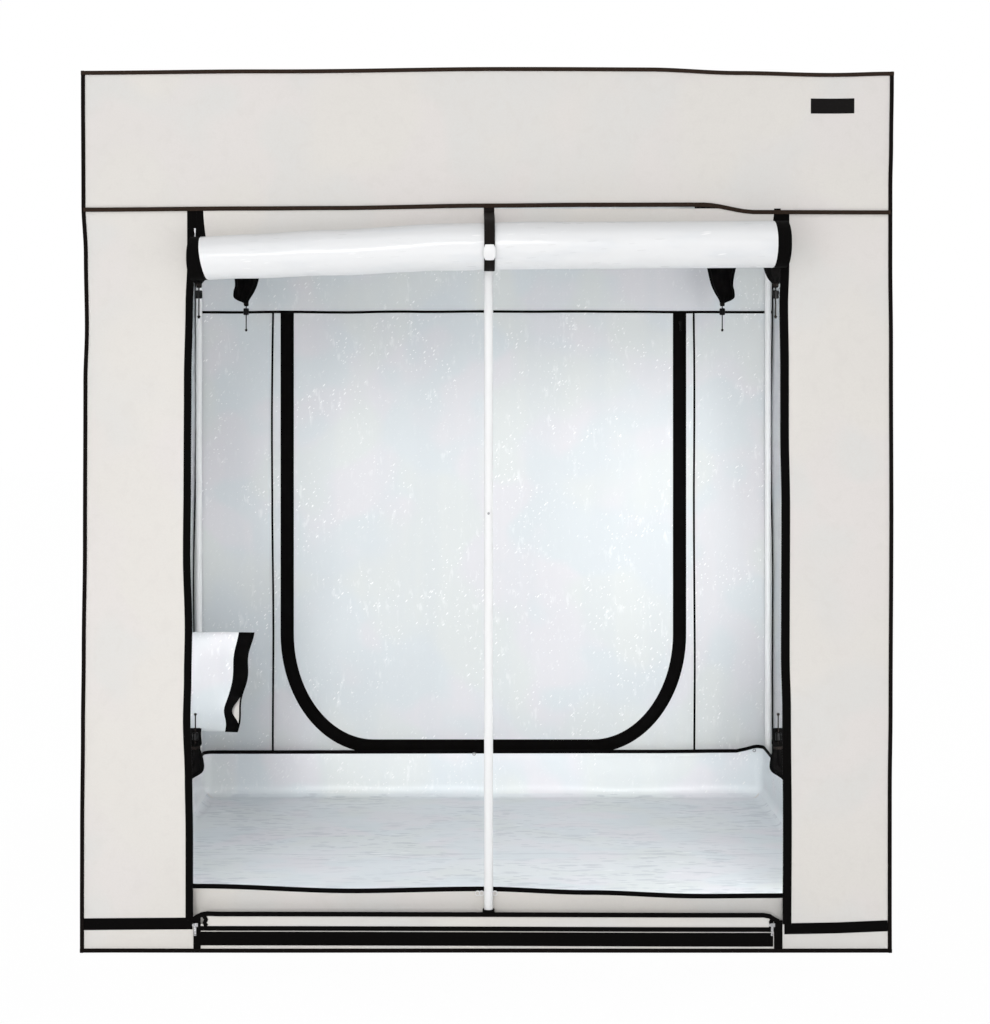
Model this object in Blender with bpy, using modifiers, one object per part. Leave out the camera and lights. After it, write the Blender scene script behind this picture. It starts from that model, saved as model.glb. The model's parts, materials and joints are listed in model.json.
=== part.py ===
"""Indoor grow tent with its front door rolled up and tied.

Metres, +Z up. The front faces -Y, +X is to the right as seen from the front.
The origin is the centre of the footprint, on the ground.
"""

import math

import bmesh
import bpy
from mathutils import Matrix, Vector

# Overall size, over the bound edges
WIDTH = 2.0
DEPTH = 2.0
HEIGHT = 2.18

# Cloth, edge binding, and the clearance that neighbouring pieces keep
CLOTH = 0.002
BINDING = 0.010
BINDING_BEVEL = 0.002
GAP = 0.0003
OVERRUN = 0.02
MERGE = 0.00001
CREASE = math.radians(35)

# Steel tubes and the moulded fittings that they push into
TUBE_R = 0.011
TUBE_WALL = 0.001
SOCKET_CLEARANCE = 0.0008
SOCKET_WALL = 0.0032
SOCKET_REACH = 0.085
STOP_WALL = 0.003
CORNER_TAIL_SHARE = 0.8
ARM_TWISTS = (0.0, 0.14, 0.30)
TEE_RUN = 0.070
TUBE_SIDES = 12
POLE_SIDES = 24

# Rolled grooves where each upright's two lengths meet
GROOVE_DEPTH = 0.0008
GROOVE_WIDTH = 0.004
GROOVE_PITCH = 0.030
UPRIGHT_JOINT_SHARE = 0.5

# Centre pole: its two lengths meet at a spring button
SNAP_HEIGHT = 1.083
SPIGOT_HALF = 0.040
SPIGOT_CLEARANCE = 0.0005
SNAP_R = 0.003
SNAP_FLANGE_R = 0.0045
SNAP_FLANGE_T = 0.001
SNAP_SEAT = 0.0068
SNAP_PROUD = 0.002
SNAP_DOME = 0.0008
SNAP_SIDES = 12

# Ceiling bar with a hook at each end, for hanging a lamp
HOOK_T = 0.0025
HOOK_WIDTH = 0.026
HOOK_LEG = 0.008
HOOK_STEPS = 10

# Front: header, side panels, sill and the zips between them
HEADER_HEIGHT = 0.348
SIDE_PANEL_WIDTH = 0.2755
SILL_SEAM_Z = 0.070
FLAP_INSET = 0.0255
FLAP_TOP = 0.101
FLAP_ROUND = 0.014
FLAP_STEPS = 4
TAPE_T = 0.001
TAPE_WIDTH = 0.022
TAPE_LAP = 0.003
TAPE_LOW_Z = 0.054
TAPE_SIDE_TOP_Z = 0.086
TAPE_DOOR_TOP_Z = 0.072

# Front door: hung in front of the header and rolled up outwards
DOOR_CLOTH = 0.002
DOOR_LAP = 0.010
DOOR_NECK_INSET = 0.0195
DOOR_BEND_INSET = 0.0125
ROLL_OVERHANG = 0.0195
ROLL_R = 0.063
ROLL_CORE_R = 0.018
ROLL_PITCH = 0.0065
ROLL_AXIS_DROP = 0.091
ROLL_STANDOFF = 0.014
ROLL_DROP_LEFT = 0.034
ROLL_RISE_RIGHT = 0.007
DOOR_FALL = 0.020
DOOR_BEND_FALL = 0.052
DOOR_BEND_OUT = 0.009
ROLL_STEPS = 14
ROLL_STATIONS = 4

# Webbing strap that holds the roll
STRAP_WIDTH = 0.026
STRAP_T = 0.0015
STRAP_CLEARANCE = 0.0010
STRAP_STEPS = 16
STRAP_TOP_LAP = 0.006
STRAP_BACK_Y = 0.0010

# Rear door: a U-shaped flap, with a zip band inside
REAR_YOKE_HEIGHT = 0.520
REAR_SIDE_WIDTH = 0.3235
REAR_DOOR_LOW = 0.1655
REAR_CURVE_X = 0.300
REAR_CURVE_Z = 0.3875
REAR_CURVE_STEPS = 8
BAND_SIDE_HALF = 0.0195
BAND_LOW_HALF = 0.0155
BAND_T = 0.001

# Spill tray that stands inside the frame
TRAY_HEIGHT = 0.160
TRAY_WALL = 0.002
TRAY_CLEARANCE = 0.004

# Duct sleeves
SLEEVE_WALL = 0.0015
COLLAR = 0.003
SLEEVE_SIDES = 16
CEILING_PORT_R = 0.105
CEILING_PORT_FROM_SIDE = 0.230
CEILING_PORT_FROM_END = 0.420
CEILING_SLEEVE_LENGTH = 0.501
CEILING_DEPTH_SHARES = (0.0, 0.10, 0.35, 0.62, 0.86, 1.0)
CEILING_RADIUS_SHARES = (1.0, 0.97, 0.80, 0.57, 0.33, 0.114)
CEILING_PLEAT_SHARES = (0.0, 0.0, 0.05, 0.12, 0.20, 0.15)
HEM_DROP = 0.018
HEM_R = 0.018
HEM_PLEAT_SHARE = 0.20

LOW_PORT_R = 0.100
LOW_PORT_FROM_FRONT = 0.560
LOW_PORT_Z = 0.360
LOW_SLEEVE_REACH = 0.198
LOW_REACH_SHARES = (0.0, 0.30, 0.60, 0.83, 0.96, 1.0)
LOW_RISE_SHARES = (0.0, -0.03, -0.05, 0.0, 0.13, 0.25)
LOW_RADIUS_SHARES = (1.0, 0.98, 0.86, 0.60, 0.33, 0.12)
LOW_TILTS = (0.0, -0.05, 0.10, 0.75, 1.25, math.pi / 2)
LOW_PLEAT_SHARES = (0.0, 0.0, 0.04, 0.10, 0.16, 0.15)

FLAT_PORT_R = 0.100
FLAT_PORT_FROM_FRONT = 1.200
FLAT_PORT_Z = 0.505
FLAT_SLEEVE_LENGTH = 0.265
FLAT_SLEEVE_HALF = 0.155
FLAT_SLEEVE_SLIT_HALF = 0.009
FLAT_SLEEVE_SLANT = 0.024
FLAT_SIDES = 20
FLAT_LENGTH_SHARES = (0.19, 0.40, 0.70, 1.0)
FLAT_SPREAD_SHARES = (0.55, 0.96, 1.0, 1.0)
FLAT_CLOSE_SHARES = (0.33, 0.77, 0.93, 1.0)

# Drawcord at each tied neck, with its sliding lock
CORD_R = 0.002
CORD_LENGTH = 0.090
KNOT_R = 0.0035
KNOT_LENGTH = 0.007
TIE_R = 0.010
TIE_HEIGHT = 0.006
CORD_SIDES = 8
LOCK_R = 0.009
LOCK_HEIGHT = 0.022
LOCK_CHAMFER = 0.002
LOCK_CLEARANCE = 0.0005
LOCK_PLACE = 0.031
LOCK_SIDES = 10

# Zip sliders and their pulls
SLIDER_LENGTH = 0.014
SLIDER_WIDTH = 0.009
SLIDER_NOSE = 0.005
SLIDER_T = 0.004
PULL_LENGTH = 0.026
PULL_WIDTH = 0.006
PULL_NECK = 0.0035
PULL_T = 0.0012
PULL_BITE = 0.0004
PULL_EYE_R = 0.0012
PULL_EYE_SIDES = 8
DOOR_SLIDER_PAST = 0.0002
DOOR_SLIDER_DROP = 0.052
LOW_SLIDER_LEFT_SHORT = 0.0005
LOW_SLIDER_RIGHT_SHORT = 0.0255
LOW_SLIDER_Z = 0.069
REAR_SLIDER_DROP = 0.040

# Worked out from the sizes above
SOCKET_R = TUBE_R + SOCKET_CLEARANCE + SOCKET_WALL
BORE_R = TUBE_R + SOCKET_CLEARANCE
SOCKET_STOP = SOCKET_R + STOP_WALL
TUBE_START = SOCKET_STOP + GAP
INSET = BINDING / 2 + CLOTH / 2
INNER_X = WIDTH / 2 - INSET
INNER_Y = DEPTH / 2 - INSET
ROOF_UNDER = HEIGHT - INSET
ROOF_TOP = ROOF_UNDER + CLOTH
HEADER_BOTTOM = HEIGHT - HEADER_HEIGHT
PANEL_EDGE_X = WIDTH / 2 - SIDE_PANEL_WIDTH
FLAP_HALF = PANEL_EDGE_X - FLAP_INSET
TAPE_INNER_X = PANEL_EDGE_X - TAPE_LAP
TAPE_OUTER_X = TAPE_INNER_X + TAPE_WIDTH
REAR_DOOR_TOP = HEIGHT - REAR_YOKE_HEIGHT
REAR_DOOR_HALF = WIDTH / 2 - REAR_SIDE_WIDTH
CEILING_PORT_X = WIDTH / 2 - CEILING_PORT_FROM_SIDE
CEILING_PORT_Y = DEPTH / 2 - CEILING_PORT_FROM_END
LOW_PORT_Y = LOW_PORT_FROM_FRONT - DEPTH / 2
FLAT_PORT_Y = FLAT_PORT_FROM_FRONT - DEPTH / 2
PANEL_X = WIDTH / 2 - BINDING - GAP
PANEL_Y = DEPTH / 2 - BINDING - GAP
PANEL_LOW = BINDING + GAP
PANEL_HIGH = HEIGHT - BINDING - GAP
FRAME_X = PANEL_X - SOCKET_R
FRAME_Y = PANEL_Y - SOCKET_R
FRAME_LOW = CLOTH + GAP + SOCKET_R
FRAME_HIGH = ROOF_UNDER - GAP - SOCKET_R
FRONT_FACE_Y = -(INNER_Y + CLOTH)
REAR_FACE_Y = INNER_Y + CLOTH
TAPE_Y = FRONT_FACE_Y - GAP - TAPE_T / 2
DOOR_Y = FRONT_FACE_Y - GAP - DOOR_CLOTH / 2
DOOR_TOP = HEADER_BOTTOM + DOOR_LAP
DOOR_NECK_HALF = PANEL_EDGE_X - DOOR_NECK_INSET
DOOR_BEND_HALF = PANEL_EDGE_X - DOOR_BEND_INSET
ROLL_HALF = PANEL_EDGE_X + ROLL_OVERHANG
ROLL_AXIS_Z = HEADER_BOTTOM - ROLL_AXIS_DROP
ROLL_Y = FRONT_FACE_Y - ROLL_STANDOFF - ROLL_R
SLIDER_BACK = FRONT_FACE_Y - GAP - TAPE_T - GAP
RIGHT_ANGLE = math.pi / 2


def new_collection(name):
    collection = bpy.data.collections.new(name)
    bpy.context.scene.collection.children.link(collection)
    return collection


def clear_scene():
    for obj in list(bpy.data.objects):
        bpy.data.objects.remove(obj, do_unlink=True)


clear_scene()
PARTS = new_collection("indoor_grow_tent")


def make_material(name, color, roughness, metallic=0.0):
    material = bpy.data.materials.new(name)
    material.use_nodes = True
    shader = material.node_tree.nodes["Principled BSDF"]
    shader.inputs["Base Color"].default_value = (*color, 1.0)
    shader.inputs["Roughness"].default_value = roughness
    shader.inputs["Metallic"].default_value = metallic
    material.diffuse_color = (*color, 1.0)
    return material


STEEL = make_material("white_coated_steel", (0.84, 0.84, 0.82), 0.35)
FITTING = make_material("black_fitting", (0.02, 0.02, 0.02), 0.55)
OUTER_CLOTH = make_material("cream_cloth", (0.78, 0.75, 0.71), 0.85)
FLOOR_FILM = make_material("floor_film", (0.58, 0.62, 0.66), 0.35)
ROLL_FILM = make_material("white_film", (0.88, 0.88, 0.90), 0.35)
BLACK_CLOTH = make_material("black_cloth", (0.02, 0.015, 0.013), 0.9)
BINDING_CLOTH = make_material("edge_binding", (0.02, 0.013, 0.01), 0.8)
WEBBING = make_material("black_webbing", (0.016, 0.013, 0.012), 0.75)
PALE_SLEEVE = make_material("pale_sleeve", (0.80, 0.82, 0.83), 0.6)
LOCK_PLASTIC = make_material("lock_plastic", (0.02, 0.02, 0.02), 0.4)
ZIP_METAL = make_material("zip_metal", (0.35, 0.35, 0.36), 0.35, 1.0)
BUTTON_STEEL = make_material("button_steel", (0.25, 0.25, 0.26), 0.3, 1.0)


def add_object(name, data, location=(0, 0, 0), rotation=(0, 0, 0)):
    obj = bpy.data.objects.new(name, data)
    PARTS.objects.link(obj)
    obj.location = location
    obj.rotation_euler = rotation
    return obj


def settle(obj):
    """Gives the object its evaluated shape as a plain mesh, welded and facing out."""
    bpy.context.view_layer.update()
    graph = bpy.context.evaluated_depsgraph_get()
    mesh = bpy.data.meshes.new_from_object(obj.evaluated_get(graph))
    work = bmesh.new()
    work.from_mesh(mesh)
    bmesh.ops.remove_doubles(work, verts=work.verts, dist=MERGE)
    bmesh.ops.recalc_face_normals(work, faces=work.faces)
    work.to_mesh(mesh)
    work.free()
    name = obj.name
    place = obj.matrix_world.copy()
    bpy.data.objects.remove(obj, do_unlink=True)
    settled = add_object(name, mesh)
    settled.matrix_world = place
    return settled


def at_origin(obj):
    """Moves the object's place into its mesh, so that the object itself stands at the origin."""
    obj.data.transform(obj.matrix_world)
    obj.matrix_world = Matrix.Identity(4)
    return obj


def dress(obj, material, smooth=False):
    obj.data.materials.clear()
    obj.data.materials.append(material)
    if smooth:
        obj.data.shade_smooth()
        obj.data.set_sharp_from_angle(angle=CREASE)
    return obj


def combine(obj, other, operation):
    """Joins or cuts obj with other, which is used up."""
    modifier = obj.modifiers.new(operation.lower(), "BOOLEAN")
    modifier.operation = operation
    modifier.solver = "EXACT"
    modifier.object = other
    obj = settle(obj)
    bpy.data.objects.remove(other, do_unlink=True)
    return obj


def box(name, low, high):
    mesh = bpy.data.meshes.new(name)
    work = bmesh.new()
    bmesh.ops.create_cube(work, size=1.0)
    size = Vector(high) - Vector(low)
    bmesh.ops.scale(work, vec=size, verts=work.verts)
    work.to_mesh(mesh)
    work.free()
    return add_object(name, mesh, location=(Vector(low) + Vector(high)) / 2)


def plate(name, outlines, thickness, location=(0, 0, 0), rotation=(0, 0, 0)):
    """A flat sheet: the first outline is its edge, and the others are holes in it."""
    curve = bpy.data.curves.new(name, "CURVE")
    curve.dimensions = "2D"
    curve.fill_mode = "BOTH"
    curve.extrude = thickness / 2
    for outline in outlines:
        spline = curve.splines.new("POLY")
        spline.points.add(len(outline) - 1)
        for point, (across, up) in zip(spline.points, outline):
            point.co = (across, up, 0, 1)
        spline.use_cyclic_u = True
    return settle(add_object(name, curve, location=location, rotation=rotation))


def turned(name, profile, sides, location=(0, 0, 0), rotation=(0, 0, 0), twist=0.0):
    """A turned solid. The closed profile is (radius, height) and runs down its outer side."""
    mesh = bpy.data.meshes.new(name)
    points = [(radius * math.cos(twist), radius * math.sin(twist), height) for radius, height in profile]
    count = len(points)
    closes = profile[0][0] > 0
    edges = [(i, i + 1) for i in range(count - 1)]
    if closes:
        edges.append((count - 1, 0))
    mesh.from_pydata(points, edges, [])
    obj = add_object(name, mesh, location=location, rotation=rotation)
    screw = obj.modifiers.new("turn", "SCREW")
    screw.steps = sides
    screw.render_steps = sides
    screw.use_merge_vertices = True
    screw.merge_threshold = MERGE
    return settle(obj)


def loft(name, sections, thickness, closed, location=(0, 0, 0)):
    """A sheet through unlike sections, given its thickness on its inner side if closed."""
    mesh = bpy.data.meshes.new(name)
    work = bmesh.new()
    rows = [[work.verts.new(point) for point in section] for section in sections]
    count = len(sections[0])
    last = count if closed else count - 1
    for row, following in zip(rows, rows[1:]):
        for i in range(last):
            j = (i + 1) % count
            work.faces.new((row[i], row[j], following[j], following[i]))
    first = list(work.faces)[0]
    first.normal_update()
    middle = sum((Vector(point) for point in sections[0]), Vector()) / count
    if closed and first.normal.dot(first.calc_center_median() - middle) < 0:
        bmesh.ops.reverse_faces(work, faces=work.faces)
    work.to_mesh(mesh)
    work.free()
    obj = add_object(name, mesh, location=location)
    wall = obj.modifiers.new("wall", "SOLIDIFY")
    wall.thickness = thickness
    wall.offset = -1 if closed else 0
    return settle(obj)


def circle(radius, sides, centre=(0, 0)):
    points = []
    for i in range(sides):
        angle = math.tau * i / sides
        points.append((centre[0] + radius * math.cos(angle), centre[1] + radius * math.sin(angle)))
    return points


def rectangle(low_x, low_y, high_x, high_y):
    return [(low_x, low_y), (high_x, low_y), (high_x, high_y), (low_x, high_y)]


# Turns that stand a plate up facing the front or facing the right side
FACING_FRONT = (RIGHT_ANGLE, 0, 0)
FACING_SIDE = (RIGHT_ANGLE, 0, RIGHT_ANGLE)
ALONG_X = (0, RIGHT_ANGLE, 0)
ALONG_Y = (-RIGHT_ANGLE, 0, 0)


def tube_profile(length, grooves=()):
    """A hollow tube from height zero up, with shallow rolled grooves at the given heights."""
    inner = TUBE_R - TUBE_WALL
    profile = [(inner, 0), (inner, length), (TUBE_R, length)]
    for height in sorted(grooves, reverse=True):
        profile.append((TUBE_R, height + GROOVE_WIDTH / 2))
        profile.append((TUBE_R - GROOVE_DEPTH, height))
        profile.append((TUBE_R, height - GROOVE_WIDTH / 2))
    profile.append((TUBE_R, 0))
    return profile


def make_uprights():
    low = FRAME_LOW + TUBE_START
    length = FRAME_HIGH - TUBE_START - low
    joint = length * UPRIGHT_JOINT_SHARE
    profile = tube_profile(length, (joint - GROOVE_PITCH / 2, joint + GROOVE_PITCH / 2))
    for side, x in (("left", -FRAME_X), ("right", FRAME_X)):
        for end, y in (("front", -FRAME_Y), ("rear", FRAME_Y)):
            upright = turned(f"upright_{end}_{side}", profile, TUBE_SIDES, (x, y, low))
            dress(upright, STEEL, smooth=True)


def make_bars():
    half_x = FRAME_X - TUBE_START
    half_y = FRAME_Y - TUBE_START
    across = tube_profile(2 * half_x)
    along = tube_profile(2 * half_y)
    for level, z in (("bottom", FRAME_LOW), ("top", FRAME_HIGH)):
        for end, y in (("front", -FRAME_Y), ("rear", FRAME_Y)):
            bar = turned(f"{level}_bar_{end}", across, TUBE_SIDES, (-half_x, y, z), ALONG_X)
            dress(bar, STEEL, smooth=True)
        for side, x in (("left", -FRAME_X), ("right", FRAME_X)):
            bar = turned(f"{level}_bar_{side}", along, TUBE_SIDES, (x, -half_y, z), ALONG_Y)
            dress(bar, STEEL, smooth=True)


def socket_profile(tail):
    """A socket that opens upwards, bored down to its stop, with a solid tail below."""
    return [
        (0, SOCKET_STOP),
        (BORE_R, SOCKET_STOP),
        (BORE_R, SOCKET_REACH),
        (SOCKET_R, SOCKET_REACH),
        (SOCKET_R, -tail),
        (0, -tail),
    ]


def make_corner_fittings():
    """Three sockets at right angles. Every corner uses the same moulding, turned to fit."""
    profile = socket_profile(SOCKET_R * CORNER_TAIL_SHARE)
    first, second, third = ARM_TWISTS
    fitting = turned("corner_pattern", profile, TUBE_SIDES, twist=first)
    arm = turned("arm", profile, TUBE_SIDES, rotation=ALONG_X, twist=second)
    fitting = combine(fitting, arm, "UNION")
    arm = turned("arm", profile, TUBE_SIDES, rotation=ALONG_Y, twist=third)
    fitting = combine(fitting, arm, "UNION")
    dress(fitting, FITTING, smooth=True)
    places = (("front_left", -1, -1), ("front_right", 1, -1), ("rear_right", 1, 1), ("rear_left", -1, 1))
    for turn, (corner, side, end) in enumerate(places):
        place = (side * FRAME_X, end * FRAME_Y)
        low = add_object(f"corner_bottom_{corner}", fitting.data.copy())
        low.location = (*place, FRAME_LOW)
        low.rotation_euler = (0, 0, RIGHT_ANGLE * turn)
        high = add_object(f"corner_top_{corner}", fitting.data.copy())
        high.location = (*place, FRAME_HIGH)
        high.rotation_euler = (math.pi, 0, RIGHT_ANGLE * (turn + 1))
    bpy.data.objects.remove(fitting, do_unlink=True)


def make_tees():
    """A tee slides onto the front bar, and its socket holds the centre pole."""
    for name, z, rotation in (("tee_bottom", FRAME_LOW, (0, 0, 0)), ("tee_top", FRAME_HIGH, (math.pi, 0, 0))):
        place = (0, -FRAME_Y, z)
        tee = turned(name, socket_profile(0), TUBE_SIDES, place, rotation)
        half = TEE_RUN / 2
        run = [(0, half), (SOCKET_R, half), (SOCKET_R, -half), (0, -half)]
        run = turned("run", run, TUBE_SIDES, place, ALONG_X, ARM_TWISTS[1])
        tee = combine(tee, run, "UNION")
        reach = half + OVERRUN
        bore = [(0, reach), (BORE_R, reach), (BORE_R, -reach), (0, -reach)]
        tee = combine(tee, turned("bore", bore, TUBE_SIDES, place, ALONG_X), "DIFFERENCE")
        dress(tee, FITTING, smooth=True)


def button_hole(name):
    """A cutter from the pole's axis out through its front wall at the spring button."""
    radius = SNAP_R + GAP
    reach = TUBE_R + OVERRUN
    profile = [(0, reach), (radius, reach), (radius, 0), (0, 0)]
    return turned(name, profile, SNAP_SIDES, (0, -FRAME_Y, SNAP_HEIGHT), (RIGHT_ANGLE, 0, 0))


def make_centre_pole():
    inner = TUBE_R - TUBE_WALL
    spigot = inner - SPIGOT_CLEARANCE
    low = FRAME_LOW + TUBE_START
    high = FRAME_HIGH - TUBE_START
    shoulder = SNAP_HEIGHT - SPIGOT_HALF - GAP - low
    top = SNAP_HEIGHT + SPIGOT_HALF - low
    profile = [
        (inner, 0),
        (inner, shoulder - TUBE_WALL - GROOVE_WIDTH),
        (spigot - TUBE_WALL, shoulder - TUBE_WALL),
        (spigot - TUBE_WALL, top),
        (spigot, top),
        (spigot, shoulder),
        (TUBE_R, shoulder),
        (TUBE_R, 0),
    ]
    lower = turned("centre_pole_lower", profile, POLE_SIDES, (0, -FRAME_Y, low))
    lower = combine(lower, button_hole("hole"), "DIFFERENCE")
    dress(lower, STEEL, smooth=True)
    start = SNAP_HEIGHT - SPIGOT_HALF
    upper = turned("centre_pole_upper", tube_profile(high - start), POLE_SIDES, (0, -FRAME_Y, start))
    upper = combine(upper, button_hole("hole"), "DIFFERENCE")
    dress(upper, STEEL, smooth=True)


def make_snap_button():
    """The button's flange seats inside the pole, and its domed end stands proud of it."""
    tip = TUBE_R + SNAP_PROUD
    profile = [
        (0, tip),
        (SNAP_R - SNAP_DOME, tip),
        (SNAP_R, tip - SNAP_DOME),
        (SNAP_R, SNAP_SEAT),
        (SNAP_FLANGE_R, SNAP_SEAT),
        (SNAP_FLANGE_R, SNAP_SEAT - SNAP_FLANGE_T),
        (0, SNAP_SEAT - SNAP_FLANGE_T),
    ]
    place = (0, -FRAME_Y, SNAP_HEIGHT)
    button = turned("snap_button", profile, SNAP_SIDES, place, (RIGHT_ANGLE, 0, 0))
    dress(button, BUTTON_STEEL, smooth=True)


def make_ceiling_bar():
    """A tube across the ceiling, with a flat hook over the top bar at each end."""
    inner = TUBE_R + GAP
    outer = inner + HOOK_T
    half = FRAME_X - inner - HOOK_T / 2
    bar = turned("ceiling_crossbar", tube_profile(2 * half), TUBE_SIDES, (-half, 0, FRAME_HIGH), ALONG_X)
    outline = [(outer, -HOOK_LEG)]
    angles = [math.pi * i / HOOK_STEPS for i in range(HOOK_STEPS + 1)]
    outline += [(outer * math.cos(a), outer * math.sin(a)) for a in angles]
    outline += [(-outer, -HOOK_LEG), (-inner, -HOOK_LEG)]
    inner_steps = inner / math.cos(math.pi / (2 * HOOK_STEPS))
    outline += [(inner_steps * math.cos(a), inner_steps * math.sin(a)) for a in reversed(angles)]
    outline += [(inner, -HOOK_LEG)]
    for x in (-FRAME_X, FRAME_X):
        hook = plate("hook", [outline], HOOK_WIDTH, (x, 0, FRAME_HIGH), FACING_FRONT)
        bar = combine(bar, hook, "UNION")
    dress(bar, STEEL, smooth=True)


def make_edge_binding():
    """The folded tape that closes all twelve edges of the box, in one run."""
    half_x = WIDTH / 2
    half_y = DEPTH / 2
    binding = box("edge_binding", (-half_x, -half_y, 0), (half_x, half_y, HEIGHT))
    bevel = binding.modifiers.new("folded_edge", "BEVEL")
    bevel.width = BINDING_BEVEL
    bevel.segments = 1
    binding = settle(binding)
    low = Vector((BINDING - half_x, BINDING - half_y, BINDING))
    high = Vector((half_x - BINDING, half_y - BINDING, HEIGHT - BINDING))
    for axis in range(3):
        reach = Vector((0, 0, 0))
        reach[axis] = BINDING + OVERRUN
        binding = combine(binding, box("window", low - reach, high + reach), "DIFFERENCE")
    dress(binding, BINDING_CLOTH)


def make_roof():
    ports = []
    for x in (-CEILING_PORT_X, CEILING_PORT_X):
        for y in (-CEILING_PORT_Y, CEILING_PORT_Y):
            ports.append(circle(CEILING_PORT_R + GAP, SLEEVE_SIDES, (x, y)))
    edge = rectangle(-PANEL_X, -PANEL_Y, PANEL_X, PANEL_Y)
    roof = plate("roof_panel", [edge, *ports], CLOTH, (0, 0, ROOF_UNDER + CLOTH / 2))
    dress(roof, OUTER_CLOTH)


def make_ground_sheet():
    edge = rectangle(-PANEL_X, -PANEL_Y, PANEL_X, PANEL_Y)
    dress(plate("floor_panel", [edge], CLOTH, (0, 0, CLOTH / 2)), OUTER_CLOTH)


def make_side_walls():
    edge = rectangle(-PANEL_Y, PANEL_LOW, PANEL_Y, PANEL_HIGH)
    low_port = circle(LOW_PORT_R + GAP, SLEEVE_SIDES, (LOW_PORT_Y, LOW_PORT_Z))
    flat_port = circle(FLAT_PORT_R + GAP, FLAT_SIDES, (FLAT_PORT_Y, FLAT_PORT_Z))
    x = INNER_X + CLOTH / 2
    dress(plate("wall_left", [edge, low_port, flat_port], CLOTH, (-x, 0, 0), FACING_SIDE), OUTER_CLOTH)
    dress(plate("wall_right", [edge, low_port], CLOTH, (x, 0, 0), FACING_SIDE), OUTER_CLOTH)


def u_outline(grow_side, grow_low, top):
    """The rear door's U, made larger at its sides and its foot by the amounts given."""
    half = REAR_DOOR_HALF + grow_side
    low = REAR_DOOR_LOW - grow_low
    curve_x = REAR_CURVE_X + grow_side
    curve_z = REAR_CURVE_Z + grow_low
    left = [(-half, top)]
    for i in range(REAR_CURVE_STEPS + 1):
        angle = RIGHT_ANGLE * i / REAR_CURVE_STEPS
        x = half - curve_x + curve_x * math.cos(angle)
        z = low + curve_z - curve_z * math.sin(angle)
        left.append((-x, z))
    return left + [(-x, z) for x, z in reversed(left)]


def make_rear_wall():
    edge = rectangle(-PANEL_X, PANEL_LOW, PANEL_X, PANEL_HIGH)
    doorway = u_outline(GAP, GAP, REAR_DOOR_TOP + GAP)
    wall = plate("wall_rear", [edge, doorway], CLOTH, (0, INNER_Y + CLOTH / 2, 0), FACING_FRONT)
    dress(wall, OUTER_CLOTH)


def make_rear_door():
    """The rear door's origin lies on the top edge of its outer face, where it folds."""
    outline = [(x, z - REAR_DOOR_TOP) for x, z in u_outline(0, 0, REAR_DOOR_TOP)]
    door = at_origin(plate("rear_door", [outline], CLOTH, (0, -CLOTH / 2, 0), FACING_FRONT))
    door.location = (0, REAR_FACE_Y, REAR_DOOR_TOP)
    dress(door, OUTER_CLOTH)


def make_rear_zip_band():
    """Sewn to the wall inside, over the line where the rear door is zipped in."""
    outer = u_outline(BAND_SIDE_HALF, BAND_LOW_HALF, REAR_DOOR_TOP)
    inner = u_outline(-BAND_SIDE_HALF, -BAND_LOW_HALF, REAR_DOOR_TOP)
    outline = outer + list(reversed(inner))
    place = (0, INNER_Y - GAP - BAND_T / 2, 0)
    dress(plate("rear_zip_band", [outline], BAND_T, place, FACING_FRONT), BLACK_CLOTH)


def make_front_panels():
    y = FRONT_FACE_Y + CLOTH / 2
    header = rectangle(-PANEL_X, HEADER_BOTTOM, PANEL_X, PANEL_HIGH)
    dress(plate("front_header", [header], CLOTH, (0, y, 0), FACING_FRONT), OUTER_CLOTH)
    low = SILL_SEAM_Z + GAP
    high = HEADER_BOTTOM - GAP
    left = rectangle(-PANEL_X, low, -PANEL_EDGE_X, high)
    dress(plate("front_panel_left", [left], CLOTH, (0, y, 0), FACING_FRONT), OUTER_CLOTH)
    right = rectangle(PANEL_EDGE_X, low, PANEL_X, high)
    dress(plate("front_panel_right", [right], CLOTH, (0, y, 0), FACING_FRONT), OUTER_CLOTH)


def make_sill():
    """The low strip of the front wall. Its middle rises behind the zip as a weather flap."""
    corner = []
    for i in range(FLAP_STEPS + 1):
        angle = RIGHT_ANGLE * i / FLAP_STEPS
        x = FLAP_HALF - FLAP_ROUND + FLAP_ROUND * math.cos(angle)
        z = FLAP_TOP - FLAP_ROUND + FLAP_ROUND * math.sin(angle)
        corner.append((x, z))
    right = [(PANEL_X, PANEL_LOW), (PANEL_X, SILL_SEAM_Z), (FLAP_HALF, SILL_SEAM_Z), *corner]
    outline = right + [(-x, z) for x, z in reversed(right)]
    y = FRONT_FACE_Y + CLOTH / 2
    dress(plate("front_sill", [outline], CLOTH, (0, y, 0), FACING_FRONT), OUTER_CLOTH)


def make_front_zip_tape():
    """The frame's half of the zip: up both jambs, and low down across the whole front."""
    right = [
        (PANEL_X, TAPE_LOW_Z),
        (PANEL_X, TAPE_SIDE_TOP_Z),
        (TAPE_OUTER_X, TAPE_SIDE_TOP_Z),
        (TAPE_OUTER_X, HEADER_BOTTOM),
        (TAPE_INNER_X, HEADER_BOTTOM),
        (TAPE_INNER_X, TAPE_DOOR_TOP_Z),
    ]
    outline = right + [(-x, z) for x, z in reversed(right)]
    dress(plate("front_zip_tape", [outline], TAPE_T, (0, TAPE_Y, 0), FACING_FRONT), BLACK_CLOTH)


def roll_turns():
    return (ROLL_R - DOOR_CLOTH / 2 - ROLL_CORE_R) / ROLL_PITCH


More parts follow.
